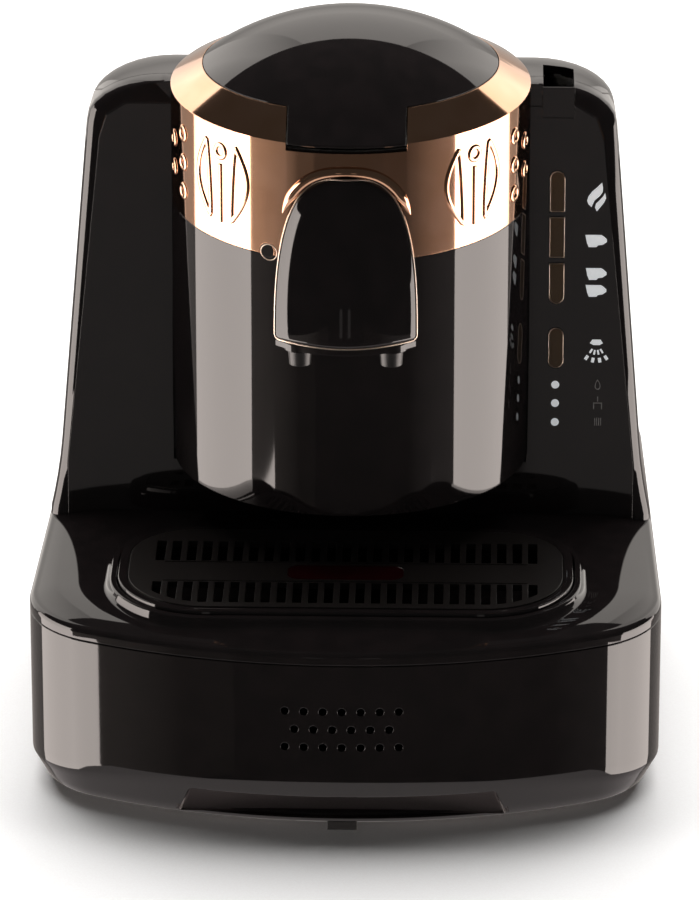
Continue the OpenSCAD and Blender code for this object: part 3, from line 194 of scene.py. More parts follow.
# %% Rose copper plating
def plated_metal(name, dark, light, roughness):
    """Metal with two close shades and the shallow 14 mm waves that buffing leaves."""
    material, tree, shader = new_material(name, Metallic=1.0, Roughness=roughness)
    noise = grain(tree, shader, 14.0, 0.0015, detail=1.0)
    tone(tree, shader, noise, dark, light)
    return material


# Buffed and plated: bands of studio light turn to warm gold, dark walls to brown.
rose_copper = plated_metal("polished_rose_copper_plate", "#dbad8d", "#e3b698", 0.07)
# Brushed trim: its blur gathers light from all round, so a fine line stays bright.
pale_trim = plated_metal("brushed_pale_copper_trim", "#e2cdbb", "#ead7c7", 0.32)
# Turned steel, for screws, pins, the spring and the chamber: a cool grey with a soft shine.
bare_steel = plated_metal("turned_stainless_steel", "#b9b9b6", "#c8c8c4", 0.25)
print("metals:", [m.name for m in (rose_copper, pale_trim, bare_steel)])

# %% [markdown]
# The keys are sprayed with a metallic lacquer, the inlay is deep red acrylic and the lenses are
# milky. The same function serves all three, because what tells them apart is the colour, the
# gloss, and the size and height of the grain.

# %% Finishes of the keys, lenses and inlay
# Bronze lacquer over plastic: brown, with the soft edge of a sprayed coat.
bronze_key = moulded_plastic("bronze_painted_key", "#45331f", "#4d3a26", 0.3, 0.4, 0.004)
# Deep red acrylic: nearly black, and only its lit edge shows the red.
wine_gloss = moulded_plastic("dark_red_gloss_inlay", "#1d0406", "#250508", 0.08)
# Milky light guide: a white dot; further down it shares the painted glow of the white ink.
lens_white = moulded_plastic("white_light_guide", "#e9eef2", "#f6f8fa", 0.2)
print("small bright pieces:", [m.name for m in (bronze_key, wine_gloss, lens_white)])

# %% [markdown]
# Feet, seals and hoses are pressed or cast in a mould. A soft skin is no mirror: it scatters the
# light, and the height of its grain decides how dull it looks.

# %% Finishes of seals, hoses and feet
# Rubber scatters all light, so the feet look flat and deep.
black_rubber = moulded_plastic("moulded_black_rubber", "#1b1a19", "#232221", 0.75, 0.5, 0.01)
# Cast silicone has a faint bloom, which reads as a soft grey.
grey_silicone = moulded_plastic("cast_grey_silicone", "#8d8a85", "#9b9892", 0.5, 0.6, 0.006)
# The hose is silicone without pigment: milky, with an uneven skin.
milky_hose = moulded_plastic("milky_silicone_hose", "#c9c6bd", "#d4d1c8", 0.4, 0.8, 0.005)
# Acetal is waxy and white; it is the usual stuff for valves and spigots.
white_pom = moulded_plastic("moulded_white_pom", "#cfcdc8", "#dbd9d4", 0.4, 0.5, 0.005)
print("soft pieces:", [m.name for m in (black_rubber, grey_silicone, milky_hose, white_pom)])

# %% [markdown]
# The parts inside are cast metal, board, ceramic and paper, and each keeps the texture that its
# own making leaves. The tank is the only clear piece.

# %% Finishes of the parts inside
# Sand casting leaves grains that are nearly a millimetre wide.
cast_alloy = moulded_plastic("sand_cast_aluminium", "#7d7e7f", "#8c8d8e", 0.45, 0.8, 0.03)
# Solder mask flows over the tracks, so the board looks wet and slightly wavy.
board_green = moulded_plastic("green_solder_mask", "#0f3d22", "#14492a", 0.25, 1.2, 0.01)
# Fired ceramic keeps a warm ivory and a dull glaze.
ivory_ceramic = moulded_plastic("ivory_ceramic", "#cbbf9c", "#d6cba9", 0.3, 0.7, 0.006)
# The cone is pressed from paper pulp: dark, dry and fibrous.
paper_cone = moulded_plastic("pressed_paper_cone", "#17171a", "#222226", 0.85, 0.3, 0.03)
# The tank is smoked SAN, a clear plastic: most of the light goes through and comes back grey.
smoke, smoke_tree, smoke_shader = new_material("smoked_clear_san", Roughness=0.05, IOR=1.57)
smoke_shader.inputs["Transmission Weight"].default_value = 0.85
smoke_noise = grain(smoke_tree, smoke_shader, 12.0, 0.001, detail=1.0)
tone(smoke_tree, smoke_shader, smoke_noise, "#3a3836", "#454340")
print("inner pieces:", [m.name for m in (cast_alloy, board_green, ivory_ceramic, paper_cone, smoke)])

# %% [markdown]
# Each piece of the machine leaves its own mould or press with its own finish. The record of the
# part says which material slot each CAD node has, so a table from slot to finish dresses all of
# them at once, and no node can be forgotten, as might happen one by one.

# %% Finishes on the CAD nodes
FINISH = {
    "gloss_black": gloss_black, "satin_black": satin_black, "copper": rose_copper, "key_copper": bronze_key,
    "wine_red": wine_gloss, "smoke_clear": smoke, "lens_white": lens_white, "black_rubber": black_rubber,
    "silicone": grey_silicone, "white_plastic": white_pom, "steel": bare_steel, "cast_heater": cast_alloy,
    "board_green": board_green, "hose_clear": milky_hose, "thermostat_ivory": ivory_ceramic,
    "speaker_cone": paper_cone,
}
SLOT_OF = {part["node"]: part["material_slot"] for part in frame["record"]["subparts"]}
for node, obj in frame["nodes"].items():
    obj.data.materials.clear()
    obj.data.materials.append(FINISH[SLOT_OF[node]])
# The sensor looks out through a black window, although its plug is listed with the metal.
frame["nodes"]["sensor_plug"].data.materials[0] = gloss_black
print("finishes:", len(FINISH), "on", len(SLOT_OF), "nodes")

# %% [markdown]
# A CAD mesh is loose triangles. Shading all of it smooth would smear the corners, and leaving it
# flat would show every facet. A Weld modifier joins the triangles, and a smoothing modifier shades
# across edges of less than 30 degrees, so that round walls look round and corners stay sharp.

# %% Smooth shading for the CAD nodes
WELD_MM = 0.01
SOFT_BELOW = math.radians(30)


def smoothing_group():
    """Geometry nodes that shade all faces smooth and keep each edge sharper than SOFT_BELOW."""
    group = bpy.data.node_groups.new("smooth_by_angle", "GeometryNodeTree")
    group.interface.new_socket("Geometry", in_out="INPUT", socket_type="NodeSocketGeometry")
    group.interface.new_socket("Geometry", in_out="OUTPUT", socket_type="NodeSocketGeometry")
    start = add(group, "NodeGroupInput")
    faces = add(group, "GeometryNodeSetShadeSmooth", {"Geometry": start.outputs[0], "Shade Smooth": True})
    angle = add(group, "GeometryNodeInputMeshEdgeAngle")
    soft = add(group, "FunctionNodeCompare", {"A": angle.outputs[0], "B": SOFT_BELOW},
               data_type="FLOAT", operation="LESS_THAN")
    edges = add(group, "GeometryNodeSetShadeSmooth", {"Geometry": faces.outputs[0],
                                                      "Shade Smooth": soft.outputs[0]}, domain="EDGE")
    end = add(group, "NodeGroupOutput")
    group.links.new(edges.outputs[0], end.inputs[0])
    return group


smooth_group = smoothing_group()


def shade_by_angle(obj):
    """Smooth the faces and keep the sharp edges, on top of whatever the object holds."""
    modifier = obj.modifiers.new("smooth_by_angle", "NODES")
    modifier.node_group = smooth_group


for node, obj in frame["nodes"].items():
    weld = obj.modifiers.new("weld", "WELD")
    weld.merge_threshold = WELD_MM * MM
    shade_by_angle(obj)
print("smoothed nodes:", len(frame["nodes"]))

# %% [markdown]
# A polished moulding shows every kink, so its skin needs many even faces. It could be built from
# boxes and cylinders with bevels, but a sheet of points worked out with numpy bends as a formula
# says. Rows run along one direction and columns along the other. One function turns such a grid
# into a mesh, closing it where asked, and the object stays at the origin, its place in its mesh.

# %% From a grid of points to a mesh
def make_piece(name, points, faces, finish, body):
    """A mesh from points in mm and faces; it rides on a CAD body and is shaded by angle."""
    mesh = bpy.data.meshes.new(name)
    mesh.from_pydata((np.asarray(points, float) * MM).tolist(), [], [list(f) for f in faces])
    obj = bpy.data.objects.new(name, mesh)
    bpy.context.scene.collection.objects.link(obj)
    mesh.materials.append(finish)
    mesh.validate()
    shade_by_angle(obj)
    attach(obj, body)
    return obj


def grid_faces(rows, columns, close_rows=False, first=0):
    """Quads between neighbours of a rows x columns grid, numbered row by row; the columns close."""
    r = np.arange(rows if close_rows else rows - 1)
    r, c = np.meshgrid(r, np.arange(columns), indexing="ij")
    r1, c1 = (r + 1) % rows, (c + 1) % columns
    quads = np.stack([r * columns + c, r * columns + c1, r1 * columns + c1, r1 * columns + c], -1)
    return (quads.reshape(-1, 4) + first).tolist()


def surface(name, grid, finish, body, close_rows=False, caps=(), flip=False, pole=None):
    """A piece from a grid of points of shape (rows, columns, 3) whose columns run round and close;
    caps name rows that get a lid, and a pole is one point that closes the last row as a fan."""
    rows, columns = grid.shape[:2]
    faces = grid_faces(rows, columns, close_rows)
    points = grid.reshape(-1, 3)
    if pole is not None:
        c = np.arange(columns)
        last = (rows - 1) * columns
        faces += np.stack([last + c, last + (c + 1) % columns, 0 * c + len(points)], -1).tolist()
        points = np.vstack([points, [pole]])
    for row in caps:
        ring = [(row % rows) * columns + c for c in range(columns)]
        faces.append(ring[::-1] if row == 0 else ring)
    if flip:
        faces = [f[::-1] for f in faces]
    return make_piece(name, points, faces, finish, body)


print("faces of a closed 3 x 4 grid:", len(grid_faces(3, 4, True)))

# %% [markdown]
# A real hole comes from a pin in the mould. The grid could leave room for each hole, but then its
# points would crowd, so a Boolean modifier cuts the finished skin. Its result is read back once
# and kept as the piece's mesh, and the cutter goes away, so nothing live is left behind.

# %% Cutting holes
def carve(piece, outlines, start, depth):
    """Cut prisms out of a piece: each outline, in X and Z, goes from y = start over depth."""
    points, faces = [], []
    for outline in outlines:
        n, first = len(outline), sum(len(p) for p in points)
        near = np.stack([outline[:, 0], np.full(n, float(start)), outline[:, 1]], -1)
        points += [near, near + [0, depth, 0]]
        faces += grid_faces(2, n, first=first)
        faces += [list(range(first, first + n))[::-1], list(range(first + n, first + 2 * n))]
    mesh = bpy.data.meshes.new("cutter")
    mesh.from_pydata((np.concatenate(points) * MM).tolist(), [], faces)
    shape = bmesh.new()
    shape.from_mesh(mesh)
    bmesh.ops.recalc_face_normals(shape, faces=shape.faces)
    shape.to_mesh(mesh)
    shape.free()
    cutter = bpy.data.objects.new("cutter", mesh)
    bpy.context.scene.collection.objects.link(cutter)
    smooth = piece.modifiers["smooth_by_angle"]
    smooth.show_viewport = False
    cut = piece.modifiers.new("carve", "BOOLEAN")
    cut.object, cut.solver, cut.operation = cutter, "EXACT", "DIFFERENCE"
    bpy.context.view_layer.update()
    carved = bpy.data.meshes.new_from_object(piece.evaluated_get(bpy.context.evaluated_depsgraph_get()))
    piece.modifiers.remove(cut)
    whole, piece.data = piece.data, carved
    smooth.show_viewport = True
    bpy.data.objects.remove(cutter)
    bpy.data.meshes.remove(mesh)
    bpy.data.meshes.remove(whole)
    print(piece.name, "has", len(carved.vertices), "points after", len(outlines), "cuts")

# %% [markdown]
# An outline is a chain of arcs and straight stretches. Half of it is enough on a machine that is
# the same left and right, and the same number of points on each ring lets rings become a grid.

# %% Outlines
def arc(centre, radius, start, stop, count, end=True):
    """Points on a circle: centre + radius x (cos, sin) from start to stop degrees."""
    a = np.radians(np.linspace(start, stop, count, endpoint=end))
    return np.stack([centre[0] + radius * np.cos(a), centre[1] + radius * np.sin(a)], -1)


def line(a, b, count):
    """Points from just after a to just before b."""
    t = np.linspace(0, 1, count + 2)[1:-1, None]
    return np.asarray(a) * (1 - t) + np.asarray(b) * t


def mirror_loop(half):
    """A closed outline from its right half, which runs from the middle of the front to the back."""
    return np.concatenate([half, half[::-1][1:-1] * [-1, 1]])


def even_loop(loop, count):
    """The same closed outline with count points, evenly spaced along its length."""
    closed = np.vstack([loop, loop[:1]])
    step = np.concatenate([[0], np.cumsum(np.linalg.norm(np.diff(closed, axis=0), axis=1))])
    at = np.linspace(0, step[-1], count, endpoint=False)
    return np.stack([np.interp(at, step, closed[:, k]) for k in range(closed.shape[1])], -1)


def with_z(loop, z):
    """Gives each point of a flat outline a height."""
    z = np.broadcast_to(np.asarray(z, float), loop.shape[:1])
    return np.concatenate([loop[:, :2], z[:, None]], 1)


print("a quarter circle ends at", np.round(arc((0, 0), 1, 0, 90, 5)[-1], 3).tolist())

# %% [markdown]
# The base is a tub with a bowed front. A curve drawn by hand would do, but a chain of arcs that
# share their tangents is what a mould maker uses: drawing it in only changes the radii, so the
# wall keeps one thickness all round.

# %% The outline of the base
(base_left, FRONT_Y, UNDER_Z), (base_right, REAR_Y, SEAM_Z) = box_mm("base_shell")
BASE_W = base_right - base_left
REAR_W = 240.0                                  # the sides close in towards the back
BOW_R, FRONT_R, REAR_R = 250.0, 40.0, 35.0      # front bow, front corners, rear corners
WALL = 2.5


def base_loop(inset):
    """Outline of the base, drawn in by inset: bow, front corner, side, rear corner and back."""
    corner = np.array([BASE_W / 2 - FRONT_R, 0.0])
    bow = np.array([0.0, FRONT_Y + BOW_R])
    corner[1] = bow[1] - math.sqrt((BOW_R - FRONT_R) ** 2 - corner[0] ** 2)
    rear = np.array([REAR_W / 2 - REAR_R, REAR_Y - REAR_R])
    along = rear - corner
    a_front = math.degrees(math.atan2(corner[1] - bow[1], corner[0]))
    a_side = (math.degrees(math.atan2(along[1], along[0]))
              - math.degrees(math.acos((FRONT_R - REAR_R) / np.hypot(*along))))
    front = arc(bow, BOW_R - inset, -90, a_front, 40)
    turn = arc(corner, FRONT_R - inset, a_front, a_side, 28)[1:]
    back = arc(rear, REAR_R - inset, a_side, 90, 18)
    side = line(turn[-1], back[0], 26)
    end = np.array([[0.0, REAR_Y - inset]])
    return mirror_loop(np.concatenate([front, turn, side, back, line(back[-1], end[0], 10), end]))


print("base outline:", len(base_loop(0)), "points,", BASE_W, "mm wide")

# %% [markdown]
# The wall leans in under a crease, and its top edge stops at a fine seam below the deck. It is one
# skin, as it leaves the mould: up the outside, over the lip of the seam and down the inside. The
# crease is a height that each column of points works out for itself, so it can run in an arc.

# %% The base wall
CREASE_Z, CREASE_LOW_Z, CREASE_IN = 23.0, UNDER_Z + 6.5, 5.0
CREASE_STEP, CREASE_H = 0.12, 0.5       # the wall below stands back a little, so the crease shows
CREASE_R = 820.0                # the crease is an arc of this radius seen from the front
CREASE_FALL, CREASE_FLAT = 0.1, 70.0
EDGE, LIP, SEAM_GAP = 0.6, 0.35, 0.1


def crease_height(loop):
    """Height of the crease: z = top - x x / 2 R, less a slope of 0.1 beyond 70 mm from the front."""
    x, y = loop[:, 0], loop[:, 1]
    fall = np.maximum(0, y - FRONT_Y - CREASE_FLAT) * CREASE_FALL
    return np.maximum(CREASE_LOW_Z, CREASE_Z - x ** 2 / (2 * CREASE_R) - fall)


def base_wall_grid():
    """Rows of the wall: up the outside, over the seam's lip and down the inside."""
    crease = crease_height(base_loop(0))
    rows = [with_z(base_loop(CREASE_IN + EDGE), UNDER_Z), with_z(base_loop(CREASE_IN), UNDER_Z + EDGE)]
    for t in np.linspace(0.25, 1, 4):
        z = (UNDER_Z + EDGE) * (1 - t) + (crease - CREASE_H) * t
        rows.append(with_z(base_loop(CREASE_IN * (1 - t) + CREASE_STEP * t), z))
    rows.append(with_z(base_loop(0), crease + LIP))
    for t in np.linspace(0, 1, 16)[1:]:
        rows.append(with_z(base_loop(0), (crease + LIP) * (1 - t) + (SEAM_Z - LIP) * t))
    rows.append(with_z(base_loop(LIP), SEAM_Z - 1.2 * SEAM_GAP))
    rows.append(with_z(base_loop(WALL), SEAM_Z - SEAM_GAP))
    rows.append(with_z(base_loop(WALL + CREASE_IN), UNDER_Z + 0.5))
    return np.stack(rows)


base_wall = surface("base_wall", base_wall_grid(), gloss_black, "machine", close_rows=True)
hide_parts("base_shell")
print("base wall points:", len(base_wall.data.vertices))

# %% [markdown]
# The loudspeaker sounds through twenty round holes in three staggered rows. Below them a recess
# gives the fingers a grip for lifting, and the back has openings for the cord's gland and the
# switch. Dark dots could be painted on, but only real holes show the depth of the wall.

# %% Holes in the base wall
SOUND_D, SOUND_PITCH, SOUND_Z = 3.3, 7.4, 45.8
ROW_PITCH = SOUND_PITCH * 1.03
GRIP_W, GRIP_Z0, GRIP_Z1, GRIP_DEPTH = 128.0, 5.4, 16.0, 8.5
GRIP_CORNER, GRIP_SLANT = 2.5, 3.0
GLAND_X, GLAND_Z, GLAND_HOLE_R = -70.0, 24.0, 6.5
SWITCH_X, SWITCH_Z, SWITCH_W, SWITCH_H = 62.0, 40.0, 23.0, 17.0
FRONT_CUT_Y, REAR_CUT_Y, CUT_DEPTH = FRONT_Y - 5, REAR_Y - 12, 20    # through the wall and no further


def sound_hole(row, index, count):
    """One hole's outline; the holes of a row are spread evenly about the middle."""
    x = (index - (count - 1) / 2) * SOUND_PITCH
    return arc((x, SOUND_Z + row * ROW_PITCH), SOUND_D / 2, 0, 360, 28, end=False)


def grip_outline(inset=0.0):
    """The grip recess seen from the front: slanted sides, round upper corners."""
    hw, lo, hi = GRIP_W / 2 - inset, GRIP_Z0 + inset, GRIP_Z1 - inset
    corner_x, corner_z = hw - GRIP_SLANT - GRIP_CORNER, hi - GRIP_CORNER
    return np.concatenate([[[hw, lo]], arc((corner_x, corner_z), GRIP_CORNER, 15, 90, 8),
                           arc((-corner_x, corner_z), GRIP_CORNER, 90, 165, 8), [[-hw, lo]]])


holes = [sound_hole(row, i, count) for row, count in ((-1, 7), (0, 6), (1, 7)) for i in range(count)]
carve(base_wall, holes + [grip_outline()], FRONT_CUT_Y, CUT_DEPTH)
gland = arc((GLAND_X, GLAND_Z), GLAND_HOLE_R, 0, 360, 40, end=False)
corners = np.array([[-1, -1], [1, -1], [1, 1], [-1, 1]])
switch = corners * [SWITCH_W / 2, SWITCH_H / 2] + [SWITCH_X, SWITCH_Z]
carve(base_wall, [gland, switch], REAR_CUT_Y, CUT_DEPTH)

# %% [markdown]
# A moulding leaves no raw hole, so behind the opening lies a shallow pocket that the fingertips
# touch. Its rows are the opening's own outline, drawn in with depth, which gives it soft corners.

# %% The lining of the grip recess
GRIP_MOUTH_Y, GRIP_END_Y = FRONT_Y + 5.2, FRONT_Y + GRIP_DEPTH
GRIP_PART_Z = 9.0               # parts the points of the lower edge from those of the upper
SIDES_CLOSE = 30                # mm of inset over which the sides would close
MOUTH_BOW, POCKET_BOW = 0.9, 0.45   # how much of the front's bow the mouth and the pocket follow
LINING, LINING_WIDER = 1.2, 1.02
# Pairs of depth and inset, from the mouth to the back.
LINING_SECTION = [(GRIP_MOUTH_Y, -0.1), (GRIP_END_Y - 1.5, 0.2), (GRIP_END_Y - 0.4, 0.6), (GRIP_END_Y, 1.6)]


def grip_grid():
    """Rows of the lining: from its back out to the mouth, then round to the hidden side."""
    mouth = grip_outline(-0.1)
    rows = []
    for y, inset in LINING_SECTION:
        ring = mouth * (1 - inset / SIDES_CLOSE)
        ring[:, 1] = mouth[:, 1] + inset * np.where(mouth[:, 1] < GRIP_PART_Z, 0.5, -0.5)
        bow = np.maximum(0, BOW_R - np.sqrt(BOW_R ** 2 - ring[:, 0] ** 2))
        bow *= MOUTH_BOW if y == GRIP_MOUTH_Y else POCKET_BOW
        rows.append(np.stack([ring[:, 0], y + bow, ring[:, 1]], -1))
    wider = [LINING_WIDER, 1, 1]
    return np.stack(rows[::-1] + [rows[0] * wider, rows[-1] * wider + [0, LINING, 0]])


# The lining is painted lighter than the black wall: painted light for the shaded recess.
grip_pocket = surface("grip_pocket", grip_grid(), grip_lining_painted_light, "machine", caps=(0, -1),
                      flip=True)
print("lining points:", len(grip_pocket.data.vertices))

# %% [markdown]
# The tray sits in a well of the deck, and a raised frame stands round the well. All three share
# one outline of straight sides and quarter circles, and each draws it in or out by its own amount.

# %% The outline of the tray
(tray_left, TRAY_Y0, TRAY_Z), (tray_right, TRAY_Y1, TRAY_TOP) = box_mm("drip_tray")
TRAY_W = tray_right - tray_left
TRAY_FRONT_R, TRAY_REAR_R = 36.0, 30.0


def tray_loop(inset):
    """Outline of the drip tray, drawn in by inset: straight sides joined by large quarter circles."""
    hw = TRAY_W / 2 - inset
    y0, y1 = TRAY_Y0 + inset, TRAY_Y1 - inset
    r0, r1 = TRAY_FRONT_R - inset, TRAY_REAR_R - inset
    front = arc((hw - r0, y0 + r0), r0, -90, 0, 26)
    rear = arc((hw - r1, y1 - r1), r1, 0, 90, 26)
    start, end = np.array([[0.0, y0]]), np.array([[0.0, y1]])
    return mirror_loop(np.concatenate([start, line(start[0], front[0], 14), front,
                                       line(front[-1], rear[0], 4), rear, line(rear[-1], end[0], 14), end]))


print("tray outline:", len(tray_loop(0)), "points,", TRAY_W, "mm wide")

# %% [markdown]
# The deck closes the tub like a lid. It has a small rounded edge, then a border that climbs along
# a parabola to the flat middle, and the raised frame round the well keeps spilt water in. One skin
# runs over all of it: rings of points change step by step from the base's outline to the tray's.

# %% The deck
FRAME_H, FRAME_W, FRAME_FOOT, WELL_GAP = 3.4, 3.0, 5.5, 0.6
FRAME_Z = box_mm("deck")[1][2]          # the raised frame is the top of the deck
DECK_Z = FRAME_Z - FRAME_H
DECK_EDGE, DECK_FALL, FALL_W = 2.5, 3.0, 24.0
RIM_INSET = WALL + 0.5


def deck_height(inset):
    """z = deck - fall (1 - t) ** 2, with t from 0 at the rounded edge to 1 at FALL_W from it."""
    t = np.clip((inset - DECK_EDGE) / (FALL_W - DECK_EDGE), 0, 1)
    return DECK_Z - DECK_FALL * (1 - t) ** 2


def inset_of(points):
    """How far each point lies inside the base's outline: the distance to its nearest point."""
    edge = even_loop(base_loop(0), 1600)
    return np.min(np.linalg.norm(points[:, None, :2] - edge[None, :, :2], axis=2), axis=1)


def deck_grid():
    """Rows from the hidden rim under the deck, round its edge, over the flat and down the well."""
    count = len(base_loop(0))
    low, floor_z, edge_z = SEAM_Z - 6, TRAY_Z - 0.3, DECK_Z - DECK_FALL
    rows = [with_z(base_loop(RIM_INSET), low), with_z(base_loop(RIM_INSET), SEAM_Z + SEAM_GAP),
            with_z(base_loop(LIP), SEAM_Z + SEAM_GAP), with_z(base_loop(0), SEAM_Z + LIP)]
    for a in np.radians(np.linspace(0, 74, 10)):
        inset, fall = DECK_EDGE * (1 - math.cos(a)), DECK_EDGE * (1 - math.sin(a))
        rows.append(with_z(base_loop(inset), edge_z - fall))
    foot_inset = -FRAME_FOOT - WELL_GAP
    foot = even_loop(tray_loop(foot_inset), count)
    foot_z = deck_height(inset_of(foot))
    outer = base_loop(DECK_EDGE)
    for t in np.linspace(0, 1, 22):
        ring = outer * (1 - t) + foot * t
        rows.append(with_z(ring, deck_height(inset_of(ring))))
    for t in np.linspace(0, 1, 9)[1:]:
        ring = even_loop(tray_loop(foot_inset + (FRAME_FOOT + 0.4 - FRAME_W) * t ** 0.6), count)
        rows.append(with_z(ring, foot_z + (FRAME_Z - LIP - foot_z) * t ** 1.7))
    for inset, z in ((-FRAME_W + 0.05, FRAME_Z - 0.1), (-FRAME_W + 0.3, FRAME_Z),
                     (-WELL_GAP - 0.25, FRAME_Z), (-WELL_GAP, FRAME_Z - 0.3), (-WELL_GAP, floor_z)):
        rows.append(with_z(even_loop(tray_loop(inset), count), z))
    return np.stack(rows)


deck_skin = surface("deck_skin", deck_grid(), gloss_black, "machine", caps=(0, -1))
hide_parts("deck")
print("deck points:", len(deck_skin.data.vertices))

# %% [markdown]
# The spout's cover is an arched shield. Its outline is a superellipse, which has fuller shoulders
# than an ellipse, and its face bows towards the middle and leans back to the top.

# %% The arch of the spout
(head_left, head_front, _), (head_right, head_rear, _) = box_mm("copper_band")
HEAD_R, HEAD_Y = (head_right - head_left) / 2, (head_front + head_rear) / 2
(spout_left, SPOUT_FRONT, SPOUT_Z), (spout_right, _, _) = box_mm("spout_cover")
SPOUT_W = spout_right - spout_left
SPOUT_TOP = 249.0               # where the arch would end with no flat at its top
SPOUT_N = 2.75                  # 2 would be an ellipse, and more squares the shoulders
SPOUT_LEAN, SPOUT_BOW = 16.5, 0.41
SPOUT_FOOT_R = 2.6


def spout_width(z):
    """Half width of the arch: W / 2 (1 - t ** n) ** (1 / n), t from 0 at the foot to 1 at the top."""
    t = np.clip((z - SPOUT_Z) / (SPOUT_TOP - SPOUT_Z), 0, 0.9995)
    return SPOUT_W / 2 * (1 - t ** SPOUT_N) ** (1 / SPOUT_N)


def spout_face(x, z):
    """Y of the shield: front + lean t ** 1.6 in the middle, and bow x x / half width at the sides."""
    t = np.clip((z - SPOUT_Z) / (SPOUT_TOP - SPOUT_Z), 0, 1)
    return SPOUT_FRONT + SPOUT_LEAN * t ** 1.6 + SPOUT_BOW * x ** 2 / np.maximum(spout_width(z), 4.0)


def spout_loop(count=220):
    """Arch and lower edge seen from the front, as X and Z, evenly spaced; the feet are rounded."""
    a = np.radians(np.linspace(0, 180, 600))
    c, s = np.cos(a), np.sin(a)
    arch = np.stack([SPOUT_W / 2 * np.sign(c) * np.abs(c) ** (2 / SPOUT_N),
                     SPOUT_Z + (SPOUT_TOP - SPOUT_Z) * s ** (2 / SPOUT_N)], -1)
    arch = arch[arch[:, 1] > SPOUT_Z + SPOUT_FOOT_R]
    x, z = SPOUT_W / 2 - SPOUT_FOOT_R, SPOUT_Z + SPOUT_FOOT_R
    feet = np.concatenate([arc((-x, z), SPOUT_FOOT_R, 180, 270, 12), [[0, SPOUT_Z]],
                           arc((x, z), SPOUT_FOOT_R, 270, 360, 12)])
    return even_loop(np.concatenate([arch, feet]), count)


def inward(loop, distance):
    """The loop moved towards its inside: each point goes along the mean normal of its neighbours."""
    step = np.roll(loop, -1, 0) - np.roll(loop, 1, 0)
    normal = np.stack([-step[:, 1], step[:, 0]], -1) / np.linalg.norm(step, axis=1, keepdims=True)
    return loop + normal * distance


print("arch:", len(spout_loop()), "points,", SPOUT_W, "mm wide")

# %% [markdown]
# The cover is a polished moulding, so it needs a skin without a kink. A fan of flat strips or a
# Bevel on a block would leave one. Rings run inwards from the outline instead: the first ones roll
# over the edge, and the others close the face at one point.

# %% The spout cover
SPOUT_EDGE = 2.2
SPOUT_BACK_Y = HEAD_Y - 55.0        # inside the drum
SPOUT_HEART = np.array([0.0, SPOUT_Z + 30])
RIM_ROWS, FACE_ROWS = 7, 22


def spout_grid():
    """Rings of the shield: the side wall, the rolled edge, then the face towards its middle."""
    loop = spout_loop()
    rows = [np.stack([loop[:, 0], np.full(len(loop), SPOUT_BACK_Y), loop[:, 1]], -1)]
    for e in SPOUT_EDGE * (1 - np.cos(np.radians(np.linspace(0, 90, RIM_ROWS)))):
        ring = inward(loop, e)
        drop = SPOUT_EDGE - math.sqrt(max(0.0, SPOUT_EDGE ** 2 - (SPOUT_EDGE - e) ** 2))
        rows.append(np.stack([ring[:, 0], spout_face(ring[:, 0], ring[:, 1]) + drop, ring[:, 1]], -1))
    ring = inward(loop, SPOUT_EDGE)
    for t in np.linspace(0, 0.95, FACE_ROWS)[1:]:
        face = ring * (1 - t) + SPOUT_HEART * t
        rows.append(np.stack([face[:, 0], spout_face(face[:, 0], face[:, 1]), face[:, 1]], -1))
    return np.stack(rows)


heart = [0.0, float(spout_face(0.0, SPOUT_HEART[1])), SPOUT_HEART[1]]
spout_skin = surface("spout_skin", spout_grid(), gloss_black, "machine", caps=(0,),
                     pole=heart)
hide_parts("spout_cover")
print("spout points:", len(spout_skin.data.vertices))

# %% [markdown]
# The tray is a pan with a broad rim and a ledge for the grille. It could be hollowed out of a block
# with a Boolean. Here a profile is carried round the outline instead: all rows are the same
# outline drawn in by another amount, so the corners stay round from the rim to the floor.

# %% The drip tray
GRILLE_SEAT_Z = box_mm("drip_grille")[0][2]
# Pairs of inset and height: up the outside, over the rim, down to the ledge and on to the floor.
TRAY_SECTION = [(0.8, TRAY_Z), (0.2, TRAY_Z + 0.2), (0, TRAY_Z + 0.8), (0, TRAY_TOP - 0.5),
                (0.15, TRAY_TOP - 0.15), (0.5, TRAY_TOP), (3.3, TRAY_TOP), (3.65, TRAY_TOP - 0.15),
                (3.8, TRAY_TOP - 0.5), (3.8, GRILLE_SEAT_Z), (6, GRILLE_SEAT_Z),
                (6.3, GRILLE_SEAT_Z - 0.3), (6.4, TRAY_Z + 5), (7.2, TRAY_Z + 2.6), (9.4, TRAY_Z + 1.8)]
tray_skin = surface("tray_skin", np.stack([with_z(tray_loop(d), z) for d, z in TRAY_SECTION]), gloss_black,
                    "tray", caps=(0, -1))
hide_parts("drip_tray")
print("tray points:", len(tray_skin.data.vertices))

# %% [markdown]
# Beads are rolled or stamped lines that catch the light. A curve object with a round bevel would
# make one, but its circles twist on a bent surface. Here the path's own direction and the surface
# normal give each circle its plane, so a bead lies evenly on a flat panel and on a round drum.

# %% A bead along a path
def tube(path, normals, radius, sides=10, closed=True, flat=1.0):
    """Grid of a bead: path + radius (cos a side + flat sin a up), with side = normal x direction."""
    step = np.roll(path, -1, 0) - np.roll(path, 1, 0) if closed else np.gradient(path, axis=0)
    ahead = step / np.linalg.norm(step, axis=1, keepdims=True)
    side = np.cross(normals, ahead)
    side /= np.linalg.norm(side, axis=1, keepdims=True)
    up = np.cross(ahead, side)
    a = np.radians(np.arange(sides) * 360 / sides)[None, :, None]
    radius = np.broadcast_to(np.asarray(radius, float), (len(path),))[:, None, None]
    return path[:, None] + radius * (np.cos(a) * side[:, None] + flat * np.sin(a) * up[:, None])


hoop = with_z(arc((0, 0), 5, 0, 360, 12, end=False), 0.0)
print("grid of a bead on a hoop:", tube(hoop, np.broadcast_to([0.0, 0.0, 1.0], hoop.shape), 1.0).shape)

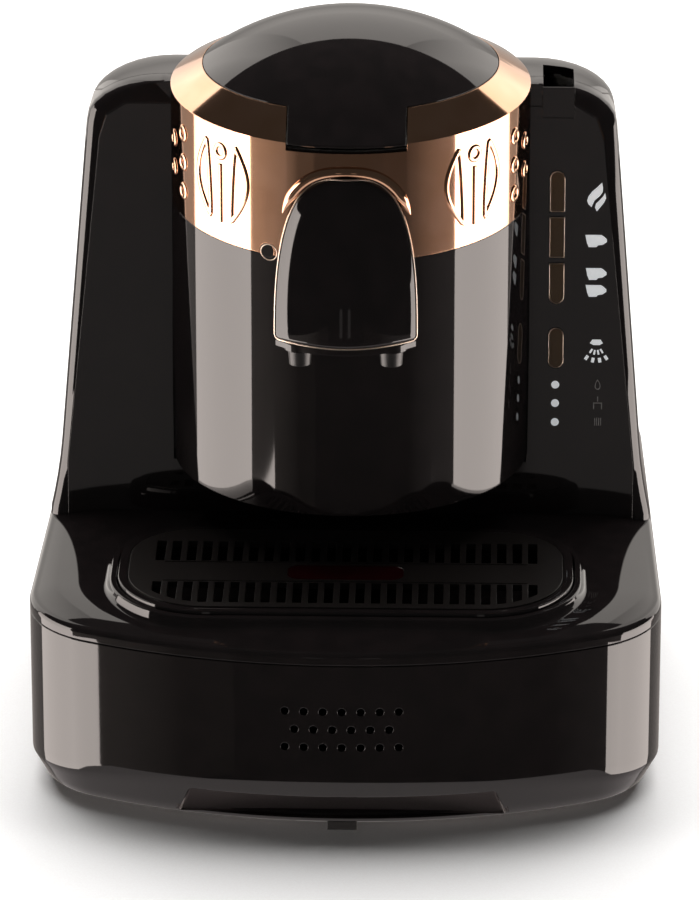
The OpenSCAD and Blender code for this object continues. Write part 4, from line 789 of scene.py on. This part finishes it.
# %% [markdown]
# A fine pale bead frames the shield, a rolled copper collar stands round its top, and a small ring
# surrounds the sensor beside it. The collar thins out at its two ends, where it goes behind the
# shield's sides.

# %% The spout's trim, collar and sensor ring
TRIM_R, TRIM_INSET, TRIM_SINK = 0.42, 0.55, 0.62
COLLAR_R, COLLAR_END_R, COLLAR_OUT, COLLAR_Z = 2.2, 0.3, 1.7, 232.0
COLLAR_TAPER = 30               # points over which an end grows to the full radius
SENSOR_X, SENSOR_Z, SENSOR_R, SENSOR_BEAD_R = -30.3, 214.9, 3.2, 0.22


def spout_bead():
    """A fine bead all round the shield, just inside its outline."""
    ring = inward(spout_loop(600), TRIM_INSET)
    path = np.stack([ring[:, 0], spout_face(ring[:, 0], ring[:, 1]) + TRIM_SINK, ring[:, 1]], -1)
    return tube(path, np.broadcast_to([0.0, -1.0, 0.0], path.shape), TRIM_R)


def on_drum(x, z, lift=0.0):
    """Points of the drum at x and z, with y = -sqrt(R R - x x), and its outward directions there."""
    out = np.stack([x, -np.sqrt(HEAD_R ** 2 - x ** 2), 0 * x], -1) / HEAD_R
    points = out * (HEAD_R + lift) + [0, HEAD_Y, 0]
    points[:, 2] = z
    return points, out


def collar_bead():
    """The rolled collar: radius = end + (full - end) sin(pi t / 2), t going from 0 to 1 at each end."""
    ring = inward(spout_loop(700), -COLLAR_OUT)
    keep = ring[ring[:, 1] > COLLAR_Z]
    path, out = on_drum(keep[:, 0], keep[:, 1], 0.3)
    t = np.minimum(np.arange(len(keep)), np.arange(len(keep))[::-1]) / COLLAR_TAPER
    radius = COLLAR_END_R + (COLLAR_R - COLLAR_END_R) * np.sin(np.clip(t, 0, 1) * math.pi / 2)
    return tube(path, out, radius, sides=20, closed=False, flat=0.8)


collar_skin = surface("collar_skin", collar_bead(), rose_copper, "machine", caps=(0, -1))
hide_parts("spout_collar")
trim = surface("spout_trim", spout_bead(), pale_trim, "machine", close_rows=True)
ring = arc((SENSOR_X, SENSOR_Z), SENSOR_R, 0, 360, 72, end=False)
path, out = on_drum(ring[:, 0], ring[:, 1])
sensor_ring = surface("sensor_ring", tube(path, out, SENSOR_BEAD_R), pale_trim, "machine",
                      close_rows=True)
print("trim points:", len(trim.data.vertices), len(sensor_ring.data.vertices))

# %% [markdown]
# The front panel leans back, so that the keys face the user. Its pieces could be made upright and
# turned, but a turned object slides in the export. Keys, frames and marks are drawn flat instead,
# as millimetres across and up the panel from a middle point, and set on the leaning face.

# %% The leaning face
FACE_Y, FACE_LEAN = 1.5, 0.142      # where the face meets the deck, and its run for each mm of rise
LEAN = math.atan(FACE_LEAN)
FACE_NORMAL = np.array([0.0, -math.cos(LEAN), math.sin(LEAN)])


def on_face(flat, x, z, out):
    """Flat points (u, v), raised by w, set on the face: x + u, y + v sin - w cos, z + v cos + w sin."""
    u, v = flat[:, 0], flat[:, 1]
    out = np.broadcast_to(np.asarray(out, float), u.shape)
    y = FACE_Y + (z - DECK_Z) * FACE_LEAN
    return np.stack([x + u, y + v * math.sin(LEAN) - out * math.cos(LEAN),
                     z + v * math.cos(LEAN) + out * math.sin(LEAN)], -1)


print("the face leans back by", round(math.degrees(LEAN), 1), "degrees")

# %% [markdown]
# Four bronze keys make a column. The upper three share one long outline, so only its outer ends
# are round, and the fourth is round at both ends. Each key has a pale bead round its face. It could
# be part of the panel, but as a trim of the key it moves in and out with it.

# %% Keys and their frames
KEY_X, KEY_W, KEY_L = 82.7, 6.4, 17.0
KEY_CORNER = 0.7                # radius of an end that isn't round
# Each key's height over the table, and whether its top and its foot are round.
KEYS = {"boil": (214.0, True, False), "one_cup": (195.4, False, False), "two_cup": (176.6, False, True),
        "rinse": (150.2, True, True)}
# Pairs of inset and height over the face: the wall, the rounded edge, then the slightly domed top.
KEY_SECTION = [(0.2, -3.3), (0.2, 0.25), (0.34, 0.38), (0.5, 0.44), (0.9, 0.5), (1.6, 0.55), (2.4, 0.57),
               (2.9, 0.58)]
KEY_FRAME_R, KEY_FRAME_INSET, KEY_FRAME_OUT = 0.21, 0.32, 0.34


def key_loop(inset, round_top, round_foot):
    """Outline of a key: straight sides with full or small radii at its two ends."""
    hw, hl = KEY_W / 2 - inset, KEY_L / 2 - inset
    small = max(KEY_CORNER - inset, 0.2)
    rt, rf = hw if round_top else small, hw if round_foot else small
    loop = np.concatenate([arc((hw - rt, hl - rt), rt, 0, 90, 12),
                           arc((rt - hw, hl - rt), rt, 90, 180, 12),
                           arc((rf - hw, rf - hl), rf, 180, 270, 12),
                           arc((hw - rf, rf - hl), rf, 270, 360, 12)])
    return loop[np.linalg.norm(loop - np.roll(loop, 1, 0), axis=1) > 1e-6]


def key_grid(z, top, foot):
    """Rows of a key cap: the key's outline, drawn in and raised as its section says."""
    return np.stack([on_face(key_loop(d, top, foot), KEY_X, z, out) for d, out in KEY_SECTION])


for name, (z, top, foot) in KEYS.items():
    body = name + "_button"
    cap = surface(name + "_cap", key_grid(z, top, foot), bronze_key, body, caps=(0, -1))
    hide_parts(name + "_key")
    path = on_face(even_loop(key_loop(KEY_FRAME_INSET, top, foot), 120), KEY_X, z, KEY_FRAME_OUT)
    frame_bead = tube(path, np.broadcast_to(FACE_NORMAL, path.shape), KEY_FRAME_R)
    surface(name + "_frame", frame_bead, pale_trim, body, close_rows=True)
print("keys:", list(KEYS))

# %% [markdown]
# A notch in the tower's top lets a finger lift the tank. A thin wall closes its front, flush with
# the leaning face, so the black of the face runs on up to the notch.

# %% The thin wall in front of the finger notch
NOTCH_Z, NOTCH_W, NOTCH_LOW, NOTCH_HIGH, NOTCH_WALL = 250.5, 13.2, -7.0, 5.6, 0.8


def notch_grid():
    """Two rows of one flat outline: at the wall's back and flush with the face."""
    hw = NOTCH_W / 2
    flat = even_loop(np.array([[-hw, NOTCH_LOW], [hw, NOTCH_LOW], [hw, NOTCH_HIGH], [-hw, NOTCH_HIGH]]), 48)
    return np.stack([on_face(flat, KEY_X, NOTCH_Z, out) for out in (-NOTCH_WALL, 0.0)])


notch_wall = surface("notch_wall", notch_grid(), gloss_black, "machine", caps=(0, -1))
print("notch wall points:", len(notch_wall.data.vertices))

# %% [markdown]
# The marks beside the keys are printed ink with a little body: flat shapes, raised by a few
# hundredths of a millimetre, that say boil, one cup, two cups and rinse. A picture on the panel
# would blur close up, and a shape stays crisp. Each starts as a drawing with its own small unit,
# and the white ink gets a faint painted glow, which keeps it white in the dim front light.

# %% Ink and flat shapes
INK_MM, INK_PAINTED_GLOW = 0.06, 0.24
UNITS_PER_MM = 7.92             # of the drawings of the marks
# Screen-printed white: dense and dry; the loop below gives it a faint painted glow.
ink_white = moulded_plastic("white_printed_ink", "#eef1f3", "#f6f8f9", 0.5, 0.3, 0.003)
# The same ink in grey, for the three small signs; it gets no painted glow.
ink_grey = moulded_plastic("grey_printed_ink", "#827e7c", "#8d8987", 0.5, 0.3, 0.003)
# A painted glow, not a lamp: the white ink and the light guide emit a little light of their own.
for painted_glow_finish in (ink_white, lens_white):
    shader = next(n for n in painted_glow_finish.node_tree.nodes if n.type == "BSDF_PRINCIPLED")
    shader.inputs["Emission Color"].default_value = linear("#f1f5f8")
    shader.inputs["Emission Strength"].default_value = INK_PAINTED_GLOW


def mark(name, outlines, x, z, finish):
    """Raised ink: each closed outline, turned counter-clockwise, gets a wall, a lid and a back."""
    points, faces = [], []
    for outline in outlines:
        ahead = np.roll(outline, -1, 0)
        if np.sum(outline[:, 0] * ahead[:, 1] - outline[:, 1] * ahead[:, 0]) < 0:
            outline = outline[::-1]
        n, first = len(outline), sum(len(p) for p in points)
        low, high = on_face(outline, x, z, 0.0), on_face(outline, x, z, INK_MM)
        points += [low, high]
        faces += grid_faces(2, n, first=first)
        faces += [list(range(first, first + n))[::-1], list(range(first + n, first + 2 * n))]
    make_piece(name, np.concatenate(points), faces, finish, "machine")


def sketch(points):
    """A flat outline in mm from a drawing in its own units, whose second number counts downwards."""
    return np.array(points, float) / UNITS_PER_MM * [1, -1]


def cup(scale):
    """A cup seen from the side, its handle at the right."""
    return sketch([(-36, -20), (15, -20), (22, -16), (33, -6), (33, 3), (20, 12), (5, 14), (0, 20),
                   (-25, 20), (-31, 5)]) * scale


def shift(outlines, across, up):
    """The outlines moved by a number of mm across and up."""
    return [np.asarray(o) + [across, up] for o in outlines]


def dash(turn, near, far, width):
    """A short bar at a turn in degrees from straight down."""
    a = math.radians(turn)
    along, side = np.array([math.sin(a), -math.cos(a)]), np.array([math.cos(a), math.sin(a)]) * width / 2
    return np.array([along * near - side, along * far - side, along * far + side, along * near + side])


def drop(width, height):
    """A drop, round below and pointed above, run counter-clockwise."""
    a = np.radians(np.linspace(0, 360, 28, endpoint=False))
    return np.stack([width / 2 * np.sin(a) * np.abs(np.cos(a / 2)), -height / 2 * np.cos(a)], -1)


print("inks:", ink_white.name, ink_grey.name)

# %% [markdown]
# Two leaves of flame say boil, a cup and a pair of cups say how much, and a head with water jets
# says rinse. Below them three small grey signs say: no water, tray, and descale.

# %% Marks on the panel
MARK_X = 98.4
# For each mark: how far right of MARK_X it sits, and its height over the table, in mm.
MARK_AT = {"boil": (0.0, 211.9), "one_cup": (0.2, 194.0), "two_cups": (0.2, 177.1), "rinse": (0.7, 149.6),
           "no_water": (1.4, 135.2), "tray": (1.5, 127.6), "scale": (1.6, 119.9)}
LEAVES = [sketch([(17, -47), (20, -29), (19, -16), (11, -4), (-6, 11), (-16, 33), (-26, 24), (-30, 12),
                  (-26, -2), (-14, -18), (2, -32)]),
          sketch([(27, -14), (30, 4), (24, 18), (14, 31), (1, 47), (-5, 34), (-2, 22), (10, 10), (21, -2)])]
PAIR = shift([cup(0.96)], 0.2, 3.5) + shift([cup(0.96)], 0.2, -3.5)
HEAD = sketch([(-21, -21), (-13, -33), (13, -33), (21, -21), (10, -15), (-10, -15)])
JET_TURNS, JET_STARTS, JET_L = (-33, -11, 11, 33), (2.9, 6.2), 2.0
JETS = [dash(turn, near, near + JET_L, 0.15 * near + 0.35) for turn in JET_TURNS for near in JET_STARTS]
THIN = 0.4
LEG = [dash(0, 0, 2.6, THIN)]
TRAY = ([dash(90, -1.8, 1.8, THIN)] + shift(LEG, -1.6, 0) + shift(LEG, 1.6, 0)
        + shift([dash(0, -1.2, 0.9, THIN)], 0, 1.5))
SCALE = [bar for across in (-1.2, -0.4, 0.4, 1.2) for bar in shift([dash(0, -1.6, 1.6, 0.35)], across, 0)]

for name, outlines in {"boil": LEAVES, "one_cup": [cup(1.0)], "two_cups": PAIR,
                       "rinse": [HEAD] + shift(JETS, 0, 2.7)}.items():
    across, z = MARK_AT[name]
    mark("mark_" + name, outlines, MARK_X + across, z, ink_white)
across, z = MARK_AT["no_water"]
outer, inner = drop(3.0, 4.4), drop(2.2, 3.4)
edges = ((outer, 0.0), (outer, INK_MM), (inner, INK_MM), (inner, 0.0))
drop_line = np.stack([on_face(loop, MARK_X + across, z, out) for loop, out in edges])
surface("mark_no_water", drop_line, ink_grey, "machine", close_rows=True)
for name, outlines in {"tray": TRAY, "scale": SCALE}.items():
    across, z = MARK_AT[name]
    mark("mark_" + name, outlines, MARK_X + across, z, ink_grey)

# %% [markdown]
# The band carries a raised ornament, as if rolled into the metal. A picture could displace the
# surface, but it would need very many faces. Each line is a bead instead, drawn flat as millimetres
# along the band and up from its middle, and then wrapped around the drum.

# %% Lines on the band
BAND_MIDDLE = 239.0
BEAD, BEAD_FLAT, BEAD_OUT = 1.05, 0.5, 0.12
LEAF_W, LEAF_H, LEAF_BEND, LEAF_APART = 7.4, 31.0, 3.6, 6.0
STEM_LOW, STEM_H = -16.5, 24.0
RING_R, BUD_Z = 2.6, 12.8
LEAF_TURN, NEAR_TURN, FAR_TURN = 44, 66, 76     # degrees from the front


def around(flat, turn):
    """Wraps flat points (u, v) round the drum: angle = turn + u / R, height = middle + v."""
    a = math.radians(turn) + flat[:, 0] / HEAD_R
    out = np.stack([np.sin(a), -np.cos(a), np.zeros_like(a)], -1)
    points = out * (HEAD_R + BEAD_OUT) + [0, HEAD_Y, 0]
    points[:, 2] = BAND_MIDDLE + flat[:, 1]
    return points, out


def leaf(bend):
    """A closed leaf: middle line bend (sin(pi t) + 0.6 t t), half width W / 2 sin(pi t) ** 0.9."""
    t = np.linspace(0, 1, 45)
    spine = bend * (np.sin(math.pi * t) + 0.6 * t * t)
    half = LEAF_W / 2 * np.sin(math.pi * t) ** 0.9
    up = LEAF_H * (t - 0.5)
    return np.concatenate([np.stack([spine + half, up], -1), np.stack([spine - half, up], -1)[::-1][1:-1]])


def bead_on_band(name, flat, turn, radius=BEAD, closed=True):
    """A half-flat bead along a flat line wrapped round the band."""
    points, out = around(flat, turn)
    grid = tube(points, out, radius, sides=14, closed=closed, flat=BEAD_FLAT)
    surface(name, grid, rose_copper, "machine", close_rows=closed, caps=() if closed else (0, -1))


def ring_at(z):
    """A small circle about the band's middle line, raised by z."""
    return arc((0, z), RING_R, 0, 360, 36, end=False)


print("leaf outline:", len(leaf(LEAF_BEND)), "points")

# %% [markdown]
# Slender leaves stand in pairs left and right of the spout, with a stem and a bud between them, and
# columns of two and three small rings fill the sides. Smooth metal around them lets each bead show.

# %% Leaves, stems and rings
for tag, turn in (("l44", -LEAF_TURN), ("r44", LEAF_TURN)):
    for side, k in (("a", -1), ("b", 1)):
        outline = even_loop(leaf(k * LEAF_BEND), 130) + [k * LEAF_APART, 0.5]
        bead_on_band("leaf_" + tag + "_" + side, outline, turn)
    t = np.linspace(0, 1, 40)
    stem = np.stack([0 * t, STEM_LOW + STEM_H * t], -1)
    bead_on_band("stem_" + tag, stem, turn, BEAD * 0.9, closed=False)
    bead_on_band("bud_" + tag, ring_at(BUD_Z), turn)
for tag, turn, heights in (("l76", -FAR_TURN, (-6.0, 6.0)), ("l66", -NEAR_TURN, (-12.0, 0.0, 12.0)),
                           ("r66", NEAR_TURN, (-12.0, 0.0, 12.0)), ("r76", FAR_TURN, (-6.0, 6.0))):
    for k, z in enumerate(heights):
        bead_on_band("ring_{}_{}".format(tag, k), ring_at(z), turn)

# %% [markdown]
# A gloss black part is drawn by what it mirrors, so two kinds of light share the work. Wide
# lamps, which mirrors don't see, give an even white table and a soft shadow. Glowing cards, which
# only mirrors see, draw the bright bands and the grey sheen, and the room itself is nearly dark.

# %% Lamps
ROOM_GLOW = 0.045


def lamp(name, place, target, size, radiance):
    """A rectangular lamp for matt surfaces; power is radiance x area x pi."""
    light = bpy.data.lights.new(name, "AREA")
    light.shape = "RECTANGLE"
    light.size, light.size_y = size
    light.energy = radiance * size[0] * size[1] * math.pi
    obj = bpy.data.objects.new(name, light)
    obj.location = place
    obj.rotation_euler = (Vector(target) - Vector(place)).to_track_quat("-Z", "Y").to_euler()
    obj.visible_camera = obj.visible_glossy = False
    bpy.context.scene.collection.objects.link(obj)


lamp("top_lamp", (0, 2.0, 3.0), (0, 0.0, 0), (5.0, 4.0), 6.0)
lamp("front_fill", (0, -3.2, 1.2), (0, 0, 0.15), (3.0, 2.0), 0.35)
world = bpy.data.worlds.new("studio")
bpy.context.scene.world = world
world.use_nodes = True
world.node_tree.nodes["Background"].inputs["Color"].default_value = linear("#f2efec")
world.node_tree.nodes["Background"].inputs["Strength"].default_value = ROOM_GLOW

# %% [markdown]
# The camera looks down, so an upright wall mirrors what lies low in front or at the sides, the
# leaning face mirrors what stands a little lower than itself, and the deck and lid mirror what
# stands high behind. Cards at these places, some with a glow that fades, draw each reflection.

# %% A glowing card
# Metres from the machine to the cards beside and behind it; the soft ones stand just behind the bands.
SIDE, SOFT_SIDE, BEHIND = 2.0, 2.002, 1.5
LEFT_Y, RIGHT_Y = (-0.92, 1.02), (-0.68, 1.29)      # where each bright band starts and ends
WARM, PALE = "#fff3ec", "#fff8f1"


def card(name, corners, tint, low, high=None, axis="Z", start=0.0, stop=1.0):
    """A glowing card seen only in mirrors; its glow goes from low to high along an axis."""
    mesh = bpy.data.meshes.new(name)
    mesh.from_pydata(corners, [], [(0, 1, 2, 3)])
    material = bpy.data.materials.new(name)
    material.use_nodes = True
    material.cycles.emission_sampling = "NONE"
    tree = material.node_tree
    tree.nodes.clear()
    place = add(tree, "ShaderNodeTexCoord")
    along = add(tree, "ShaderNodeSeparateXYZ", {0: place.outputs["Object"]})
    ends = {"From Min": start, "From Max": stop, "To Min": low, "To Max": low if high is None else high}
    glow = add(tree, "ShaderNodeMapRange", {"Value": along.outputs[axis], **ends})
    shine = add(tree, "ShaderNodeEmission", {"Color": linear(tint), "Strength": glow.outputs["Result"]})
    add(tree, "ShaderNodeOutputMaterial", {"Surface": shine.outputs[0]})
    mesh.materials.append(material)
    obj = bpy.data.objects.new(name, mesh)
    obj.visible_camera = obj.visible_diffuse = obj.visible_shadow = obj.visible_transmission = False
    bpy.context.scene.collection.objects.link(obj)


def upright(x0, y0, x1, y1, z0, z1):
    """Corners of an upright card over the floor line from (x0, y0) to (x1, y1)."""
    return [(x0, y0, z0), (x1, y1, z0), (x1, y1, z1), (x0, y0, z1)]


print("an upright card:", upright(0, 0, 1, 0, 0, 1))

# %% [markdown]
# Each reflection has a card of its own, so it can be made brighter, wider or softer alone. An end
# of a card shows as a crisp line on the plastic, and a glow that fades shows as a sheen.

# %% The cards
# The bright upright bands on the round head: strong in front, weaker towards the back.
card("left_band", upright(-SIDE, LEFT_Y[0], -SIDE, LEFT_Y[1], -1.7, 0.8), WARM, 8.0, 3.8, "Y", *LEFT_Y)
card("right_band", upright(SIDE, RIGHT_Y[0], SIDE, RIGHT_Y[1], -1.7, 0.1), WARM, 7.4, 3.5, "Y", *RIGHT_Y)
# Their lower parts reach further forward, and the corners of the base pick them up.
card("left_low", [(-SIDE, -1.77, -2.0), (-SIDE, LEFT_Y[0], -2.0), (-SIDE, LEFT_Y[0], -0.8),
                  (-SIDE, -1.77, -0.96)], WARM, 7.8)
card("right_low", [(SIDE, -1.39, -2.0), (SIDE, RIGHT_Y[0], -2.0), (SIDE, RIGHT_Y[0], -0.8),
                   (SIDE, -1.39, -0.9)], WARM, 7.4)
# A weak glow in front of each band, which fades further forward.
card("left_soft", upright(-SOFT_SIDE, -5, -SOFT_SIDE, LEFT_Y[0], -2.6, -0.42), "#fff0e6", 0.09, 0.47,
     "Y", -3.2, LEFT_Y[0])
card("right_soft", upright(SOFT_SIDE, -5, SOFT_SIDE, RIGHT_Y[0], -2.6, -0.42), "#fff0ea", 0.06, 0.31,
     "Y", -2.5, RIGHT_Y[0])
# Dim cards beside and behind, for the outer edges of the head, and brighter ones for all that looks up.
for name, x, end in (("left", -SIDE, LEFT_Y[1]), ("right", SIDE, RIGHT_Y[1])):
    card(name + "_rear", upright(x, end, x, BEHIND, -1.7, 0.1), WARM, 0.4)
    card(name + "_back", upright(0.235 * x, BEHIND, 1.3 * x, BEHIND, -0.25, 1.68), PALE, 1.1, 2.0, "X",
         0.235 * x, 0.42 * x)
    card(name + "_under", upright(0.0, BEHIND, x, BEHIND, -1.5, -0.25), WARM, 0.38)
card("middle_low", upright(-0.47, BEHIND, 0.47, BEHIND, -0.25, 0.62), PALE, 0.5, 1.08, "Z", 0.3, 0.62)
card("middle_high", upright(-0.47, BEHIND, 0.47, BEHIND, 0.62, 1.68), PALE, 1.08, 1.7, "Z", 0.7, 1.6)
# Two narrow cards low in front, for the leaning face on both sides of the head.
card("front_low_left", upright(-0.31, -2.2, -0.175, -2.2, -0.24, 0.16), "#fff6f2", 0.3)
card("front_low_right", upright(0.08, -2.2, 0.21, -2.2, -0.24, 0.16), "#fff6f2", 0.3)
# A faint wide card for the upright fronts, and one below the table for all that looks down.
card("front_soft", upright(-1.04, -2.6, 1.04, -2.6, -1.75, -0.5), "#fff2ec", 0.055)
card("under", [(-3, -1.9, -1.3), (3, -1.9, -1.3), (3, 1.2, -1.3), (-3, 1.2, -1.3)], "#fff4f2", 0.8)

# %% [markdown]
# The table is a matt white sheet just under the feet, so wide that its edge is never seen. Mirrors
# don't see it, because a white table would wash out all that looks down.

# %% The floor
HALF, SINK = 8, 0.0002          # metres
floor_mesh = bpy.data.meshes.new("floor")
sheet = [(-HALF, -HALF, -SINK), (HALF, -HALF, -SINK), (HALF, HALF, -SINK), (-HALF, HALF, -SINK)]
floor_mesh.from_pydata(sheet, [], [(0, 1, 2, 3)])
floor = bpy.data.objects.new("floor", floor_mesh)
bpy.context.scene.collection.objects.link(floor)
floor.visible_glossy = False
# Matt paint: it takes the soft shadow and has no shine of its own.
floor_paint, floor_tree, floor_shader = new_material("matt_white_table", Roughness=0.6)
floor_shader.inputs["Specular IOR Level"].default_value = 0.2
tone(floor_tree, floor_shader, grain(floor_tree, floor_shader, 0.8, 0.002), "#f6f4f3", "#f9f8f7")
floor_mesh.materials.append(floor_paint)
print("floor:", 2 * HALF, "m wide")

# %% [markdown]
# The standard view has no film curve, so a white table stays white and black plastic stays deep.

# %% View
bpy.context.scene.view_settings.view_transform = "Standard"
print("view:", bpy.context.scene.view_settings.view_transform)
